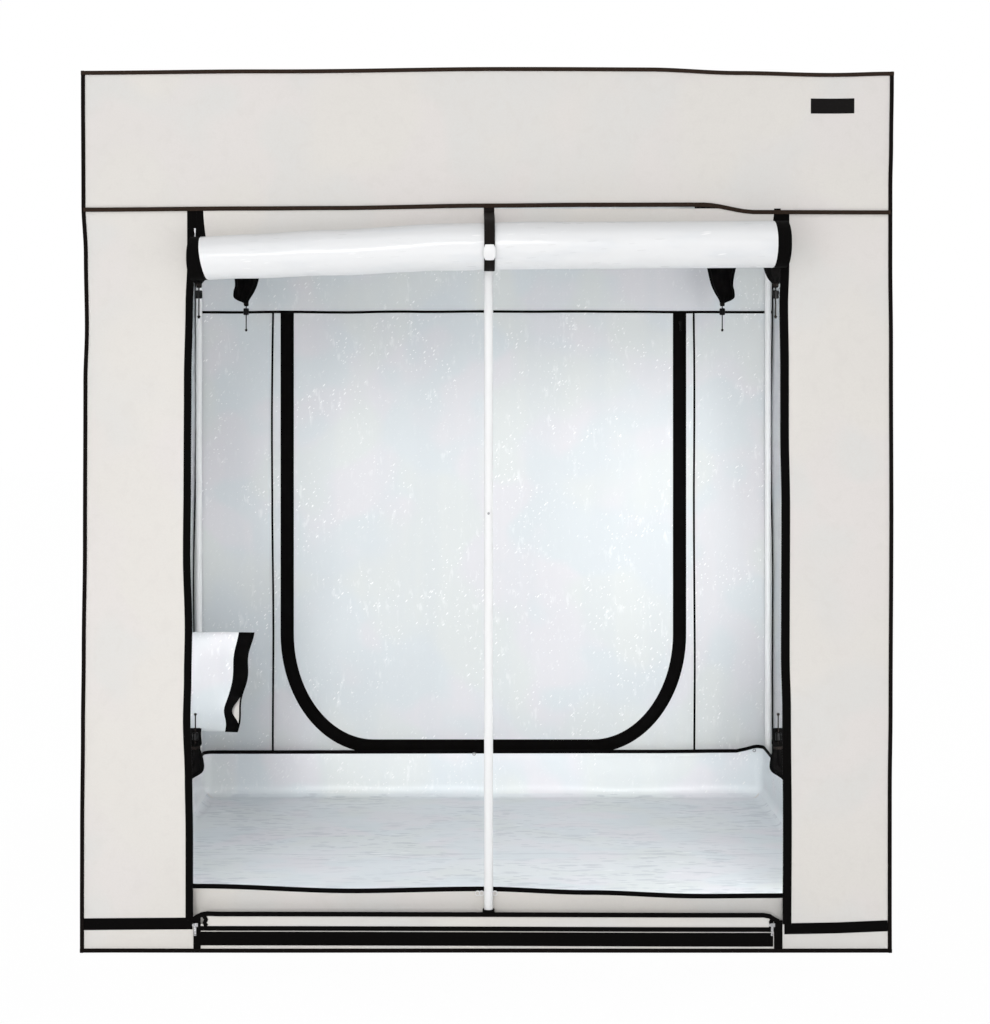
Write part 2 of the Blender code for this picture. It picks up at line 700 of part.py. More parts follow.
def roll_spiral():
    """The wound cloth's middle line, from the back of the roll, under it and inwards."""
    steps = round(roll_turns() * ROLL_STEPS)
    points = []
    for i in range(steps + 1):
        turn = i / ROLL_STEPS
        radius = ROLL_R - DOOR_CLOTH / 2 - ROLL_PITCH * turn
        angle = -math.tau * turn
        points.append((ROLL_Y + radius * math.cos(angle), ROLL_AXIS_Z + radius * math.sin(angle)))
    return points


def least_roll_gap():
    """The clear space between one turn of the cloth and the next, measured on the points."""
    points = [Vector(point) for point in roll_spiral()]
    least = ROLL_R
    for i, point in enumerate(points):
        for j in range(i + ROLL_STEPS - 2, min(i + ROLL_STEPS + 2, len(points) - 1)):
            run = points[j + 1] - points[j]
            share = max(0, min(1, (point - points[j]).dot(run) / run.length_squared))
            least = min(least, (point - points[j] - share * run).length)
    return least - DOOR_CLOTH


def hinge_empty():
    """Everything that hangs with the front door is placed from this empty, on the seam."""
    empty = bpy.data.objects.new("front_door_fold", None)
    PARTS.objects.link(empty)
    empty.location = (0, DOOR_Y, DOOR_TOP)
    return empty


def hang_on(obj, empty):
    obj.location = (0, 0, 0)
    obj.parent = empty


def make_front_door(empty):
    """Cloth that falls from the header, steps out past the zips and winds into the roll."""
    neck = [
        (DOOR_Y, DOOR_TOP, DOOR_NECK_HALF, 0),
        (DOOR_Y, DOOR_TOP - DOOR_FALL, DOOR_NECK_HALF, 0),
        (DOOR_Y - DOOR_BEND_OUT, DOOR_TOP - DOOR_BEND_FALL, DOOR_BEND_HALF, 0),
    ]
    rows = neck + [(y, z, ROLL_HALF, 1) for y, z in roll_spiral()]
    sections = []
    for y, z, half, hang in rows:
        section = []
        for station in range(ROLL_STATIONS + 1):
            share = 2 * station / ROLL_STATIONS - 1
            drop = -ROLL_DROP_LEFT * share**2 if share < 0 else ROLL_RISE_RIGHT * share
            section.append((share * half, y - DOOR_Y, z + hang * drop - DOOR_TOP))
        sections.append(section)
    door = loft("front_door", sections, DOOR_CLOTH, closed=False)
    hang_on(dress(door, ROLL_FILM, smooth=True), empty)


def strap_path():
    """Down from the header, over the front of the roll, under it, and up behind the door."""
    step = math.tau / (2 * STRAP_STEPS)
    radius = (ROLL_R + STRAP_CLEARANCE + STRAP_T / 2) / math.cos(step / 2)
    front_y = DOOR_Y - DOOR_CLOTH / 2 - GAP - STRAP_T / 2
    back_y = FRONT_FACE_Y + STRAP_BACK_Y
    starts = (front_y, DOOR_TOP - STRAP_TOP_LAP)
    ends = (back_y, DOOR_TOP - DOOR_BEND_FALL)
    leave = tangent_angle(starts, radius, 1)
    arrive = tangent_angle(ends, radius, -1) + math.tau
    steps = math.ceil((arrive - leave) / step)
    path = [(front_y, DOOR_TOP), starts]
    for i in range(steps + 1):
        angle = leave + (arrive - leave) * i / steps
        path.append((ROLL_Y + radius * math.cos(angle), ROLL_AXIS_Z + radius * math.sin(angle)))
    return path + [ends, (back_y, HEADER_BOTTOM - GAP)]


def tangent_angle(point, radius, side):
    """Where a straight run from the point meets the circle of this radius round the roll."""
    y = point[0] - ROLL_Y
    z = point[1] - ROLL_AXIS_Z
    return math.atan2(z, y) + side * math.acos(radius / math.hypot(y, z))


def make_door_strap(empty):
    half = STRAP_WIDTH / 2
    sections = []
    for y, z in strap_path():
        sections.append([(-half, y - DOOR_Y, z - DOOR_TOP), (half, y - DOOR_Y, z - DOOR_TOP)])
    strap = loft("door_strap", sections, STRAP_T, closed=False)
    hang_on(dress(strap, WEBBING, smooth=True), empty)


def make_tray():
    """A shallow liner, open at the top, that stands on the ground sheet inside the frame."""
    half_x = FRAME_X - SOCKET_R - TRAY_CLEARANCE
    half_y = FRAME_Y - SOCKET_R - TRAY_CLEARANCE
    low = CLOTH + GAP
    tray = box("floor_tray", (-half_x, -half_y, low), (half_x, half_y, TRAY_HEIGHT))
    work = bmesh.new()
    work.from_mesh(tray.data)
    lid = [max(work.faces, key=lambda face: face.calc_center_median().z)]
    bmesh.ops.delete(work, geom=lid, context="FACES_ONLY")
    work.to_mesh(tray.data)
    work.free()
    wall = tray.modifiers.new("wall", "SOLIDIFY")
    wall.thickness = TRAY_WALL
    wall.offset = -1
    wall.use_even_offset = True
    dress(settle(tray), FLOOR_FILM)


def pleated(radius, pleat_share, index):
    return radius * (1 + pleat_share * (-1) ** index)


def tied(sleeve, neck, rotation):
    """Closes the sleeve's neck with its drawcord, whose tail ends in a knot."""
    top = TIE_HEIGHT / 2
    profile = [
        (0, CORD_LENGTH),
        (KNOT_R, CORD_LENGTH),
        (KNOT_R, CORD_LENGTH - KNOT_LENGTH),
        (CORD_R, CORD_LENGTH - KNOT_LENGTH),
        (CORD_R, top),
        (TIE_R, top),
        (TIE_R, -top),
        (0, -top),
    ]
    tie = turned("tie", profile, CORD_SIDES, neck, rotation)
    return dress(combine(sleeve, tie, "UNION"), BLACK_CLOTH, smooth=True)


def make_cord_lock(name, neck, down):
    """A bored bead on the drawcord's tail, its origin on the tail's line."""
    bore = CORD_R + LOCK_CLEARANCE
    top = LOCK_HEIGHT / 2
    profile = [
        (bore, -top),
        (bore, top),
        (LOCK_R - LOCK_CHAMFER, top),
        (LOCK_R, top - LOCK_CHAMFER),
        (LOCK_R, LOCK_CHAMFER - top),
        (LOCK_R - LOCK_CHAMFER, -top),
    ]
    place = Vector(neck) + Vector((0, 0, -LOCK_PLACE if down else LOCK_PLACE))
    dress(turned(name, profile, LOCK_SIDES, place), LOCK_PLASTIC, smooth=True)


def make_ceiling_sleeves():
    for side, x in (("left", -CEILING_PORT_X), ("right", CEILING_PORT_X)):
        for end, y in (("front", -CEILING_PORT_Y), ("rear", CEILING_PORT_Y)):
            sections = []
            shares = zip(CEILING_DEPTH_SHARES, CEILING_RADIUS_SHARES, CEILING_PLEAT_SHARES)
            rings = [(d * CEILING_SLEEVE_LENGTH, r * CEILING_PORT_R, p) for d, r, p in shares]
            rings.append((CEILING_SLEEVE_LENGTH + HEM_DROP, HEM_R, HEM_PLEAT_SHARE))
            for depth, radius, pleat in rings:
                points = circle(1, SLEEVE_SIDES)
                folded = [pleated(radius, pleat, i) for i in range(SLEEVE_SIDES)]
                sections.append([(a * r, b * r, -depth) for (a, b), r in zip(points, folded)])
            name = f"ceiling_sleeve_{end}_{side}"
            sleeve = loft(name, sections, SLEEVE_WALL, True, (x, y, ROOF_TOP))
            neck = (x, y, ROOF_TOP - CEILING_SLEEVE_LENGTH)
            tied(sleeve, neck, (math.pi, 0, 0))
            make_cord_lock(f"cord_lock_{end}_{side}", neck, True)


def make_low_sleeves():
    """Black sleeves that reach in from both side walls and bend up to their tied necks."""
    for side, sign in (("left", -1), ("right", 1)):
        reaches = [share * LOW_SLEEVE_REACH for share in LOW_REACH_SHARES]
        rises = [share * LOW_SLEEVE_REACH for share in LOW_RISE_SHARES]
        radii = [share * LOW_PORT_R for share in LOW_RADIUS_SHARES]
        rings = list(zip(reaches, rises, radii, LOW_TILTS, LOW_PLEAT_SHARES))
        rings.insert(1, (COLLAR, 0, LOW_PORT_R, 0, 0))
        rings.append((reaches[-1], rises[-1] + HEM_DROP, HEM_R, RIGHT_ANGLE, HEM_PLEAT_SHARE))
        sections = []
        for reach, rise, radius, tilt, pleat in rings:
            section = []
            for i, (across, up) in enumerate(circle(1, SLEEVE_SIDES)):
                folded = pleated(radius, pleat, i)
                inward = reach - up * folded * math.sin(tilt)
                section.append((-sign * inward, across * folded, rise + up * folded * math.cos(tilt)))
            sections.append(section)
        place = Vector((sign * (INNER_X + CLOTH), LOW_PORT_Y, LOW_PORT_Z))
        sleeve = loft(f"low_sleeve_{side}", sections, SLEEVE_WALL, True, place)
        neck = place + Vector((-sign * reaches[-1], 0, rises[-1]))
        tied(sleeve, neck, (0, 0, 0))
        make_cord_lock(f"cord_lock_low_{side}", neck, False)


def make_flat_sleeve():
    """A pale sleeve at the left wall, round at its port and pressed flat at its open end."""
    port = circle(FLAT_PORT_R, FLAT_SIDES)
    sections = [[(reach, across, up) for across, up in port] for reach in (0, COLLAR)]
    for length, spread, close in zip(FLAT_LENGTH_SHARES, FLAT_SPREAD_SHARES, FLAT_CLOSE_SHARES):
        half_y = FLAT_PORT_R + (FLAT_SLEEVE_SLIT_HALF - FLAT_PORT_R) * close
        half_z = FLAT_PORT_R + (FLAT_SLEEVE_HALF - FLAT_PORT_R) * spread
        section = []
        for across, up in circle(1, FLAT_SIDES):
            reach = length * (FLAT_SLEEVE_LENGTH + FLAT_SLEEVE_SLANT * up)
            section.append((reach, across * half_y, up * half_z))
        sections.append(section)
    place = (-(INNER_X + CLOTH), FLAT_PORT_Y, FLAT_PORT_Z)
    sleeve = loft("flat_sleeve", sections, SLEEVE_WALL, True, place)
    dress(sleeve, PALE_SLEEVE, smooth=True)


def slider_pattern(level):
    """A zip slider with its pull hanging in front, and its back at depth zero.

    The body's wide end is up, or towards +X on a level zip.
    """
    half = SLIDER_WIDTH / 2
    nose = SLIDER_NOSE / 2
    length = SLIDER_LENGTH / 2
    body = [(-nose, -length), (nose, -length), (half, 0), (half, length), (-half, length), (-half, 0)]
    if level:
        body = [(along, -across) for across, along in body]
    slider = plate("slider", [body], SLIDER_T, (0, 0, SLIDER_T / 2))
    pull_half = PULL_WIDTH / 2
    neck_half = PULL_NECK / 2
    pull = [
        (-neck_half, 0),
        (-pull_half, -length),
        (-pull_half, -PULL_LENGTH),
        (pull_half, -PULL_LENGTH),
        (pull_half, -length),
        (neck_half, 0),
    ]
    eye = circle(PULL_EYE_R, PULL_EYE_SIDES, (0, pull_half - PULL_LENGTH))
    front = SLIDER_T - PULL_BITE + PULL_T / 2
    return at_origin(combine(slider, plate("pull", [pull, eye], PULL_T, (0, 0, front)), "UNION"))


def make_slider(name, level, place):
    slider = slider_pattern(level)
    slider.name = name
    slider.location = place
    slider.rotation_euler = FACING_FRONT
    dress(slider, ZIP_METAL)


def make_sliders():
    x = TAPE_INNER_X + DOOR_SLIDER_PAST
    z = HEADER_BOTTOM - DOOR_SLIDER_DROP
    make_slider("zip_slider_door_left", False, (-x, SLIDER_BACK, z))
    make_slider("zip_slider_door_right", False, (x, SLIDER_BACK, z))
    left_x = LOW_SLIDER_LEFT_SHORT - PANEL_EDGE_X
    right_x = PANEL_EDGE_X - LOW_SLIDER_RIGHT_SHORT
    make_slider("zip_slider_low_left", True, (left_x, SLIDER_BACK, LOW_SLIDER_Z))
    make_slider("zip_slider_low_right", True, (right_x, SLIDER_BACK, LOW_SLIDER_Z))
    rear_y = INNER_Y - GAP - BAND_T - GAP
    make_slider("zip_slider_rear", False, (REAR_DOOR_HALF, rear_y, REAR_DOOR_TOP - REAR_SLIDER_DROP))


def main():
    make_uprights()
    make_bars()
    make_corner_fittings()
    make_tees()
    make_centre_pole()
    make_snap_button()
    make_ceiling_bar()
    make_edge_binding()
    make_roof()
    make_ground_sheet()
    make_side_walls()
    make_rear_wall()
    make_rear_door()
    make_rear_zip_band()
    make_front_panels()
    make_sill()
    make_front_zip_tape()
    fold = hinge_empty()
    make_front_door(fold)
    make_door_strap(fold)
    make_tray()
    make_ceiling_sleeves()
    make_low_sleeves()
    make_flat_sleeve()
    make_sliders()
    print(f"least gap between turns of the rolled door: {least_roll_gap():.4f} m")


main()
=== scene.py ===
"""Indoor grow tent: its cloth, films, tapes and finishes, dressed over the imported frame."""

import json
import math

import bmesh
import bpy
from mathutils import Matrix, Vector, noise


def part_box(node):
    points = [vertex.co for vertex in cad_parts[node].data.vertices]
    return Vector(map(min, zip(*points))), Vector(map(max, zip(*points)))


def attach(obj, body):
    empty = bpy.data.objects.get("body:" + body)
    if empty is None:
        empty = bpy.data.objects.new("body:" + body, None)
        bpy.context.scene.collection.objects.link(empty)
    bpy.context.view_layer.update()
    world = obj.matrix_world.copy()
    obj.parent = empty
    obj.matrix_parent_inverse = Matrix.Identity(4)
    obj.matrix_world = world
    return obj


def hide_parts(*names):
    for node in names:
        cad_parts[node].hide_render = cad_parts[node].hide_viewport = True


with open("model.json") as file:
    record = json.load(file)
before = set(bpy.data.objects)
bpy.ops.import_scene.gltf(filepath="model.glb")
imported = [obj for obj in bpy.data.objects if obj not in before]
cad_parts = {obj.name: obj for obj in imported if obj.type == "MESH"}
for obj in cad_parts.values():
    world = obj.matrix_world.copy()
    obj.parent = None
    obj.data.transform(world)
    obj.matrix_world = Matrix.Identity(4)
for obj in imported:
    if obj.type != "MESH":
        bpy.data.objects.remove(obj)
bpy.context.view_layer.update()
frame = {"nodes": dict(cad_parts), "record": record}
bpy.context.scene.view_settings.view_transform = "Standard"

# The photograph's frame and its line of sight, in pixels
PHOTO_LONG_SIDE = 1024
PHOTO_CENTRE = (495, 512)
SIGHT = (470, 393)
GROUND_ROW = 953
PIXEL = 0.002466
CAMERA_DISTANCE = 5.067
CAMERA_X = -0.046
SENSOR = 36.0

# Box of the tent, over the bound edges
LOW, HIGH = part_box("edge_binding")
FRONT = LOW.y
REAR = HIGH.y
TOP = HIGH.z
BINDING = 0.010
HALF = BINDING / 2
CLOTH = 0.002

# Planes that the cloth lies in
FRONT_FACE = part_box("front_header")[0].y
REAR_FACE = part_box("wall_rear")[1].y
LEFT_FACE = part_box("wall_left")[0].x
RIGHT_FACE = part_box("wall_right")[1].x
ROOF_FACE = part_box("roof_panel")[1].z

# Heights and widths that the front is cut to
SEAM_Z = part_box("front_header")[0].z + 0.005
JAMB_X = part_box("front_panel_right")[0].x
REAR_DOOR_LOW, REAR_DOOR_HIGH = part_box("rear_door")
TRAY_LOW, TRAY_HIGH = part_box("floor_tray")

# How far each wave of the cloth lies from a straight edge, by place, as seen in the photograph
ROOF_FRONT_RISE = (
    (-1.0, -0.004), (-0.55, 0.0), (0.0, 0.005), (0.40, 0.004), (0.62, -0.004), (0.85, -0.009),
    (1.0, -0.006),
)
SEAM_RISE = (
    (-0.99, -0.004), (-0.58, -0.001), (-0.39, 0.0), (0.0, 0.006), (0.25, 0.008), (0.53, 0.0085),
    (0.66, -0.010), (0.99, -0.011),
)
LEFT_EDGE_SHIFT = (
    (0.10, -0.0085), (0.30, -0.008), (0.55, -0.006), (0.74, -0.004), (1.00, -0.001), (1.41, 0.0),
    (1.54, 0.0037), (1.72, 0.001), (1.85, -0.005), (2.16, -0.006),
)
RIGHT_EDGE_SHIFT = (
    (0.10, -0.005), (0.40, -0.005), (0.60, -0.003), (1.10, -0.001), (1.50, -0.002), (1.70, -0.004),
    (1.90, -0.004), (2.00, -0.002), (2.16, 0.0),
)
JAMB_LEFT_SHIFT = (
    (0.07, -0.004), (0.30, -0.004), (0.43, -0.006), (0.57, -0.0105), (0.68, -0.008), (0.80, -0.006),
    (0.98, -0.0105), (1.17, -0.009), (1.41, -0.008), (1.60, -0.004), (1.70, 0.0),
)
JAMB_RIGHT_SHIFT = (
    (0.07, 0.003), (0.30, 0.004), (0.60, 0.002), (0.73, -0.001), (1.10, 0.0), (1.29, -0.003),
    (1.45, -0.003), (1.60, -0.005), (1.70, -0.002),
)
TRAY_FRONT_RISE = (
    (-0.96, 0.0), (-0.72, 0.0), (-0.34, -0.012), (-0.02, -0.007), (0.25, -0.016), (0.52, -0.025),
    (0.72, -0.024), (0.96, -0.004),
)
TRAY_REAR_RISE = ((-0.96, 0.0), (0.60, 0.002), (0.86, 0.004), (0.94, 0.020), (0.96, 0.020))
EDGE_REACH = 0.24
EDGE_WAVE = 0.004
EDGE_WAVE_PITCH = 0.55
CORNER_REACH = 0.10
STEADY_SHARE = 0.3
SEAM_REACH_UP = 0.25
SEAM_REACH_DOWN = 0.05
JAMB_WAVE_END = 0.88
JAMB_WAVE_FADE = 0.12
FRONT_DEPTH = 0.02


def smooth(share):
    share = max(0.0, min(1.0, share))
    return share * share * (3 - 2 * share)


def through(points, at):
    """A smooth line through (place, value) points, level past both ends."""
    if at <= points[0][0]:
        return points[0][1]
    for (start, first), (end, last) in zip(points, points[1:]):
        if at <= end:
            return first + (last - first) * smooth((at - start) / (end - start))
    return points[-1][1]


def ripple(at, pitch, seed):
    """A smooth wave between about -1 and 1 along one direction."""
    return 2 * noise.noise(Vector((at / pitch, seed, 0.37)))


def relief(across, up, pitch, seed):
    """Soft swells of cloth over a flat panel."""
    broad = noise.noise(Vector((across / pitch, up / pitch, seed)))
    fine = noise.noise(Vector((across * 2.7 / pitch, up * 2.7 / pitch, seed + 3.1)))
    return 1.5 * broad + 0.5 * fine


def near_end(at, low, high):
    """Zero at both ends of an edge and one past the corner's reach."""
    return smooth((at - low) / CORNER_REACH) * smooth((high - at) / CORNER_REACH)


def edge_shift(axis, side_a, side_b, at):
    """The wave of one bound edge: its two sideways shifts at a place along it.

    axis is the direction that the edge runs in, and the sides say which of the four it is.
    """
    low, high = LOW[axis], HIGH[axis]
    hold = near_end(at, low, high)
    seed = 10 * axis + 3 * side_a + side_b
    first = EDGE_WAVE * hold * ripple(at, EDGE_WAVE_PITCH, seed)
    second = EDGE_WAVE * hold * ripple(at, EDGE_WAVE_PITCH, seed + 50)
    if axis == 0 and (side_a, side_b) == (-1, 1):
        second = through(ROOF_FRONT_RISE, at)
    if axis == 2 and side_b == -1:
        first = through(LEFT_EDGE_SHIFT if side_a < 0 else RIGHT_EDGE_SHIFT, at)
        second *= STEADY_SHARE
    if axis < 2 and side_b == -1:
        second = 0.0
        first *= STEADY_SHARE
    return first, second


def drape(point):
    """Where the hung cloth really lies, for a point of the ideal box."""
    moved = Vector(point)
    for axis in range(3):
        a, b = [i for i in range(3) if i != axis]
        for side_a in (-1, 1):
            for side_b in (-1, 1):
                gap_a = abs(point[a] - (HIGH[a] if side_a > 0 else LOW[a]))
                gap_b = abs(point[b] - (HIGH[b] if side_b > 0 else LOW[b]))
                distance = max(gap_a, gap_b)
                if distance < EDGE_REACH:
                    weight = smooth(1 - distance / EDGE_REACH)
                    shift_a, shift_b = edge_shift(axis, side_a, side_b, point[axis])
                    moved[a] += weight * shift_a
                    moved[b] += weight * shift_b
    if point[1] < FRONT_FACE + FRONT_DEPTH:
        moved.z += seam_weight(point[2]) * through(SEAM_RISE, point[0])
        table = JAMB_LEFT_SHIFT if point[0] < 0 else JAMB_RIGHT_SHIFT
        moved.x += smooth((JAMB_WAVE_END - abs(point[0])) / JAMB_WAVE_FADE) * through(table, point[2])
    return moved


def seam_weight(height):
    """The header seam's wave dies out above and below it."""
    if height > SEAM_Z:
        return smooth(1 - (height - SEAM_Z) / SEAM_REACH_UP)
    return smooth(1 - (SEAM_Z - height) / SEAM_REACH_DOWN)


# Selecting, applying and finishing meshes

WELD_DISTANCE = 0.00001


def deselect():
    bpy.ops.object.select_all(action="DESELECT")


def activate(obj):
    deselect()
    obj.select_set(True)
    bpy.context.view_layer.objects.active = obj


def add_object(name, data):
    obj = bpy.data.objects.new(name, data)
    bpy.context.scene.collection.objects.link(obj)
    return obj


def name_piece(obj, name):
    obj.name = name
    obj.data.name = name
    return obj


def settle_place(obj):
    activate(obj)
    bpy.ops.object.transform_apply(location=True, rotation=True, scale=True)


def modify(obj, kind, **settings):
    """Adds a modifier with these settings and applies it."""
    modifier = obj.modifiers.new(kind.lower(), kind)
    for name, value in settings.items():
        setattr(modifier, name, value)
    activate(obj)
    bpy.ops.object.modifier_apply(modifier=modifier.name)


def edit_all(obj, operator, **settings):
    """Runs one operator of edit mode on a whole mesh."""
    activate(obj)
    bpy.ops.object.mode_set(mode="EDIT")
    bpy.ops.mesh.select_all(action="SELECT")
    operator(**settings)
    bpy.ops.object.mode_set(mode="OBJECT")


def join(objects, name):
    deselect()
    for obj in objects:
        obj.select_set(True)
    bpy.context.view_layer.objects.active = objects[0]
    bpy.ops.object.join()
    return name_piece(objects[0], name)


def weld(obj):
    edit_all(obj, bpy.ops.mesh.remove_doubles, threshold=WELD_DISTANCE)


def face_out(obj):
    """Turns every face of a closed mesh outwards."""
    edit_all(obj, bpy.ops.mesh.normals_make_consistent, inside=False)


def finish_piece(obj, body, slot, materials, nodes=(), angle=None):
    """Gives a finished piece its materials and its body, and hides the CAD nodes that it stands for. Its
    slot is not used.

    Edges sharper than angle, in degrees, stay sharp and the rest is shaded smooth.
    """
    if angle:
        activate(obj)
        bpy.ops.object.shade_smooth_by_angle(angle=math.radians(angle))
    slots = obj.data.materials
    while len(slots) > len(materials):
        slots.pop()
    add_slots(obj, len(materials))
    for i, material in enumerate(materials):
        slots[i] = material
    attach(obj, body)
    if nodes:
        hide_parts(*nodes)
    return obj


def grid_sheet(name, columns, rows, form, size, facing=None, closed=False):
    """A flat grid of one unit, bent into place by form(across, along), with its UV map in metres."""
    deselect()
    bpy.ops.mesh.primitive_grid_add(x_subdivisions=columns, y_subdivisions=rows, size=1)
    obj = name_piece(bpy.context.object, name)
    mesh = obj.data
    for vertex in mesh.vertices:
        vertex.co = form(vertex.co.x + 0.5, vertex.co.y + 0.5)
    for loop in mesh.uv_layers.active.data:
        loop.uv = (loop.uv[0] * size[0], loop.uv[1] * size[1])
    mesh.update()
    if closed:
        weld(obj)
    if facing is not None:
        turn_towards(obj, facing)
    return obj


def turn_towards(obj, facing):
    """Flips the sheet where its faces look away from the given direction, or from facing(place)."""
    total = 0.0
    for face in obj.data.polygons:
        wanted = facing(face.center) if callable(facing) else Vector(facing)
        total += face.normal.dot(wanted) * face.area
    if total < 0:
        edit_all(obj, bpy.ops.mesh.flip_normals)


def add_slots(obj, count):
    while len(obj.data.materials) < count:
        obj.data.materials.append(None)


def thicken(obj, thickness, offset=-1.0, shift=0):
    """Gives a sheet its wall. Its other side takes the material that is shift slots further on."""
    add_slots(obj, 2 * shift)
    settings = {"thickness": thickness, "offset": offset, "material_offset": shift}
    modify(obj, "SOLIDIFY", use_even_offset=True, **settings)


def line_length(points):
    return sum((after - before).length for before, after in zip(points, points[1:]))


def directions(points, ring=False):
    """Each point of a line, with the way that the line runs there. ring says that the ends meet."""
    for i, point in enumerate(points):
        before = points[i - 1] if i else points[-2 if ring else 0]
        after = points[i + 1] if i + 1 < len(points) else points[1 if ring else -1]
        yield point, (after - before).normalized()


def loft_tube(name, rows, profile, form=None, length=1.0, ring=False):
    """A closed section swept along rows of (centre, side, up). ring joins the last row to the first."""
    count = len(rows)
    columns = len(profile)

    def place(across, along):
        centre, side, up = rows[round(along * (count - 1))]
        a, b = profile[round(across * columns) % columns]
        point = centre + side * a + up * b
        return form(point) if form else point

    obj = grid_sheet(name, columns, count - 1, place, (1, length), closed=True)
    lanes = lanes_round(profile, rows[count // 2])
    for loop in obj.data.uv_layers.active.data:
        loop.uv[0] = lanes[round(loop.uv[0] * columns)]
    if not ring:
        edit_all(obj, bpy.ops.mesh.fill_holes, sides=0)
    face_out(obj)
    return obj


def lanes_round(profile, row):
    """How far round a section each of its points lies, in metres."""
    _, side, up = row
    points = [side * a + up * b for a, b in profile]
    lanes = [0.0]
    for before, after in zip(points, points[1:] + points[:1]):
        lanes.append(lanes[-1] + (after - before).length)
    return lanes


def rounded_section(width, height, radius, steps=3):
    """The outline of a bar with rounded corners, centred on its line."""
    points = []
    for turn in range(4):
        for i in range(steps + 1):
            angle = math.pi / 2 * (turn + i / steps)
            x = (width / 2 - radius) * (1 if turn in (0, 3) else -1) + radius * math.cos(angle)
            y = (height / 2 - radius) * (1 if turn in (0, 1) else -1) + radius * math.sin(angle)
            points.append((x, y))
    return points


def flat_section(width=1.0, thickness=1.0, radius=0.24):
    """A tape's section: a bar of one unit with rounded corners, drawn out to its width and thickness."""
    return [(a * width, b * thickness) for a, b in rounded_section(1.0, 1.0, radius, 2)]


# Materials


class Wire:
    """One socket of a material, with the sums that its patterns are written in."""

    def __init__(self, finish, socket):
        self.finish = finish
        self.socket = socket

    def maths(self, operation, *values):
        return self.finish.node("ShaderNodeMath", {"operation": operation}, dict(enumerate(values)))

    def __add__(self, other):
        return self.maths("ADD", self, other)

    __radd__ = __add__

    def __sub__(self, other):
        return self.maths("SUBTRACT", self, other)

    def __rsub__(self, other):
        return self.maths("SUBTRACT", other, self)

    def __mul__(self, other):
        return self.maths("MULTIPLY", self, other)

    __rmul__ = __mul__

    def __pow__(self, other):
        return self.maths("POWER", self, other)

    def sine(self):
        return self.maths("SINE", self)

    def size(self):
        return self.maths("ABSOLUTE", self)

    def or_more(self, other):
        return self.maths("MAXIMUM", self, other)

    def between(self, low, high):
        """Rises smoothly from 0 at low to 1 at high."""
        settings = {"interpolation_type": "SMOOTHSTEP", "clamp": True}
        return self.finish.node(
            "ShaderNodeMapRange", settings, {"Value": self, "From Min": low, "From Max": high}
        )


class Finish:
    """A material whose shader is fed by patterns."""

    def __init__(self, name, color, roughness, metallic=0.0, coat=0.0):
        self.material = bpy.data.materials.new(name)
        self.material.use_nodes = True
        self.material.diffuse_color = (*color, 1.0)
        self.tree = self.material.node_tree
        self.shader = self.tree.nodes["Principled BSDF"]
        self.feed("Base Color", color)
        self.feed("Roughness", roughness)
        self.feed("Metallic", metallic)
        self.feed("Coat Weight", coat)

    def node(self, kind, settings=None, sockets=None, output=0):
        made = self.tree.nodes.new(kind)
        for name, value in (settings or {}).items():
            setattr(made, name, value)
        for key, value in (sockets or {}).items():
            self.plug(made.inputs[key], value)
        return Wire(self, made.outputs[output])

    def plug(self, socket, value):
        if isinstance(value, Wire):
            self.tree.links.new(value.socket, socket)
        elif hasattr(value, "__len__") and len(value) == 3 and len(socket.default_value) == 4:
            socket.default_value = (*value, 1.0)
        else:
            socket.default_value = value

    def feed(self, name, value):
        self.plug(self.shader.inputs[name], value)

    def place(self, kind="Object"):
        return self.node("ShaderNodeTexCoord", output=kind)

    def stretched(self, place, scale):
        return self.node("ShaderNodeMapping", None, {"Vector": place, "Scale": scale})

    def apart(self, place):
        first = self.node("ShaderNodeSeparateXYZ", None, {0: place})
        return [Wire(self, output) for output in first.socket.node.outputs]

    def grain(self, place, scale, detail=2.0, roughness=0.5, distortion=0.0):
        sockets = {"Vector": place, "Scale": scale, "Detail": detail}
        sockets |= {"Roughness": roughness, "Distortion": distortion}
        return self.node("ShaderNodeTexNoise", None, sockets)

    def cells(self, place, scale, feature="DISTANCE_TO_EDGE"):
        return self.node("ShaderNodeTexVoronoi", {"feature": feature}, {"Vector": place, "Scale": scale})

    def blend(self, share, first, second):
        return self.node("ShaderNodeMix", {"data_type": "RGBA"}, {0: share, 6: first, 7: second}, 2)

    def paint(self, tone, *coats):
        """Lays coats of (share, colour) over a tone, as the base colour."""
        for share, color in coats:
            tone = self.blend(share, tone, color)
        self.feed("Base Color", tone)

    def bump(self, height, distance, strength=1.0):
        sockets = {"Height": height, "Distance": distance, "Strength": strength}
        self.feed("Normal", self.node("ShaderNodeBump", None, sockets))


DULL = 0.04
SOFT_SHEEN = 0.10


def weave(finish, place, pitch):
    """Threads over and under, from the sheet's UV map in metres."""
    across, along, _ = finish.apart(place)
    turns = math.tau / pitch
    return (across * turns).sine() * (along * turns).sine()


def ovals(made, place, turn, long, wide, per_metre):
    """Scattered ovals, long by wide, so many to a square metre: slices of the cores of stretched cells."""
    core = (per_metre * long * wide / 8) ** (1 / 3)
    scale = (wide / 2 / core, wide / 2 / core, long / 2 / core)
    sockets = {"Vector": place, "Rotation": turn, "Scale": scale}
    laid = made.node("ShaderNodeMapping", {"vector_type": "TEXTURE"}, sockets)
    return 1 - made.cells(laid, 1.0, "F1").between(0.75 * core, core)


def tinted(made, place, blue, pink, green):
    """One pale colour that drifts between three tints in soft patches."""
    tone = made.blend(made.grain(place, 4.6, 1.0).between(0.44, 0.58), blue, pink)
    return made.blend(made.grain(place, 3.1, 1.0).between(0.48, 0.60), tone, green)


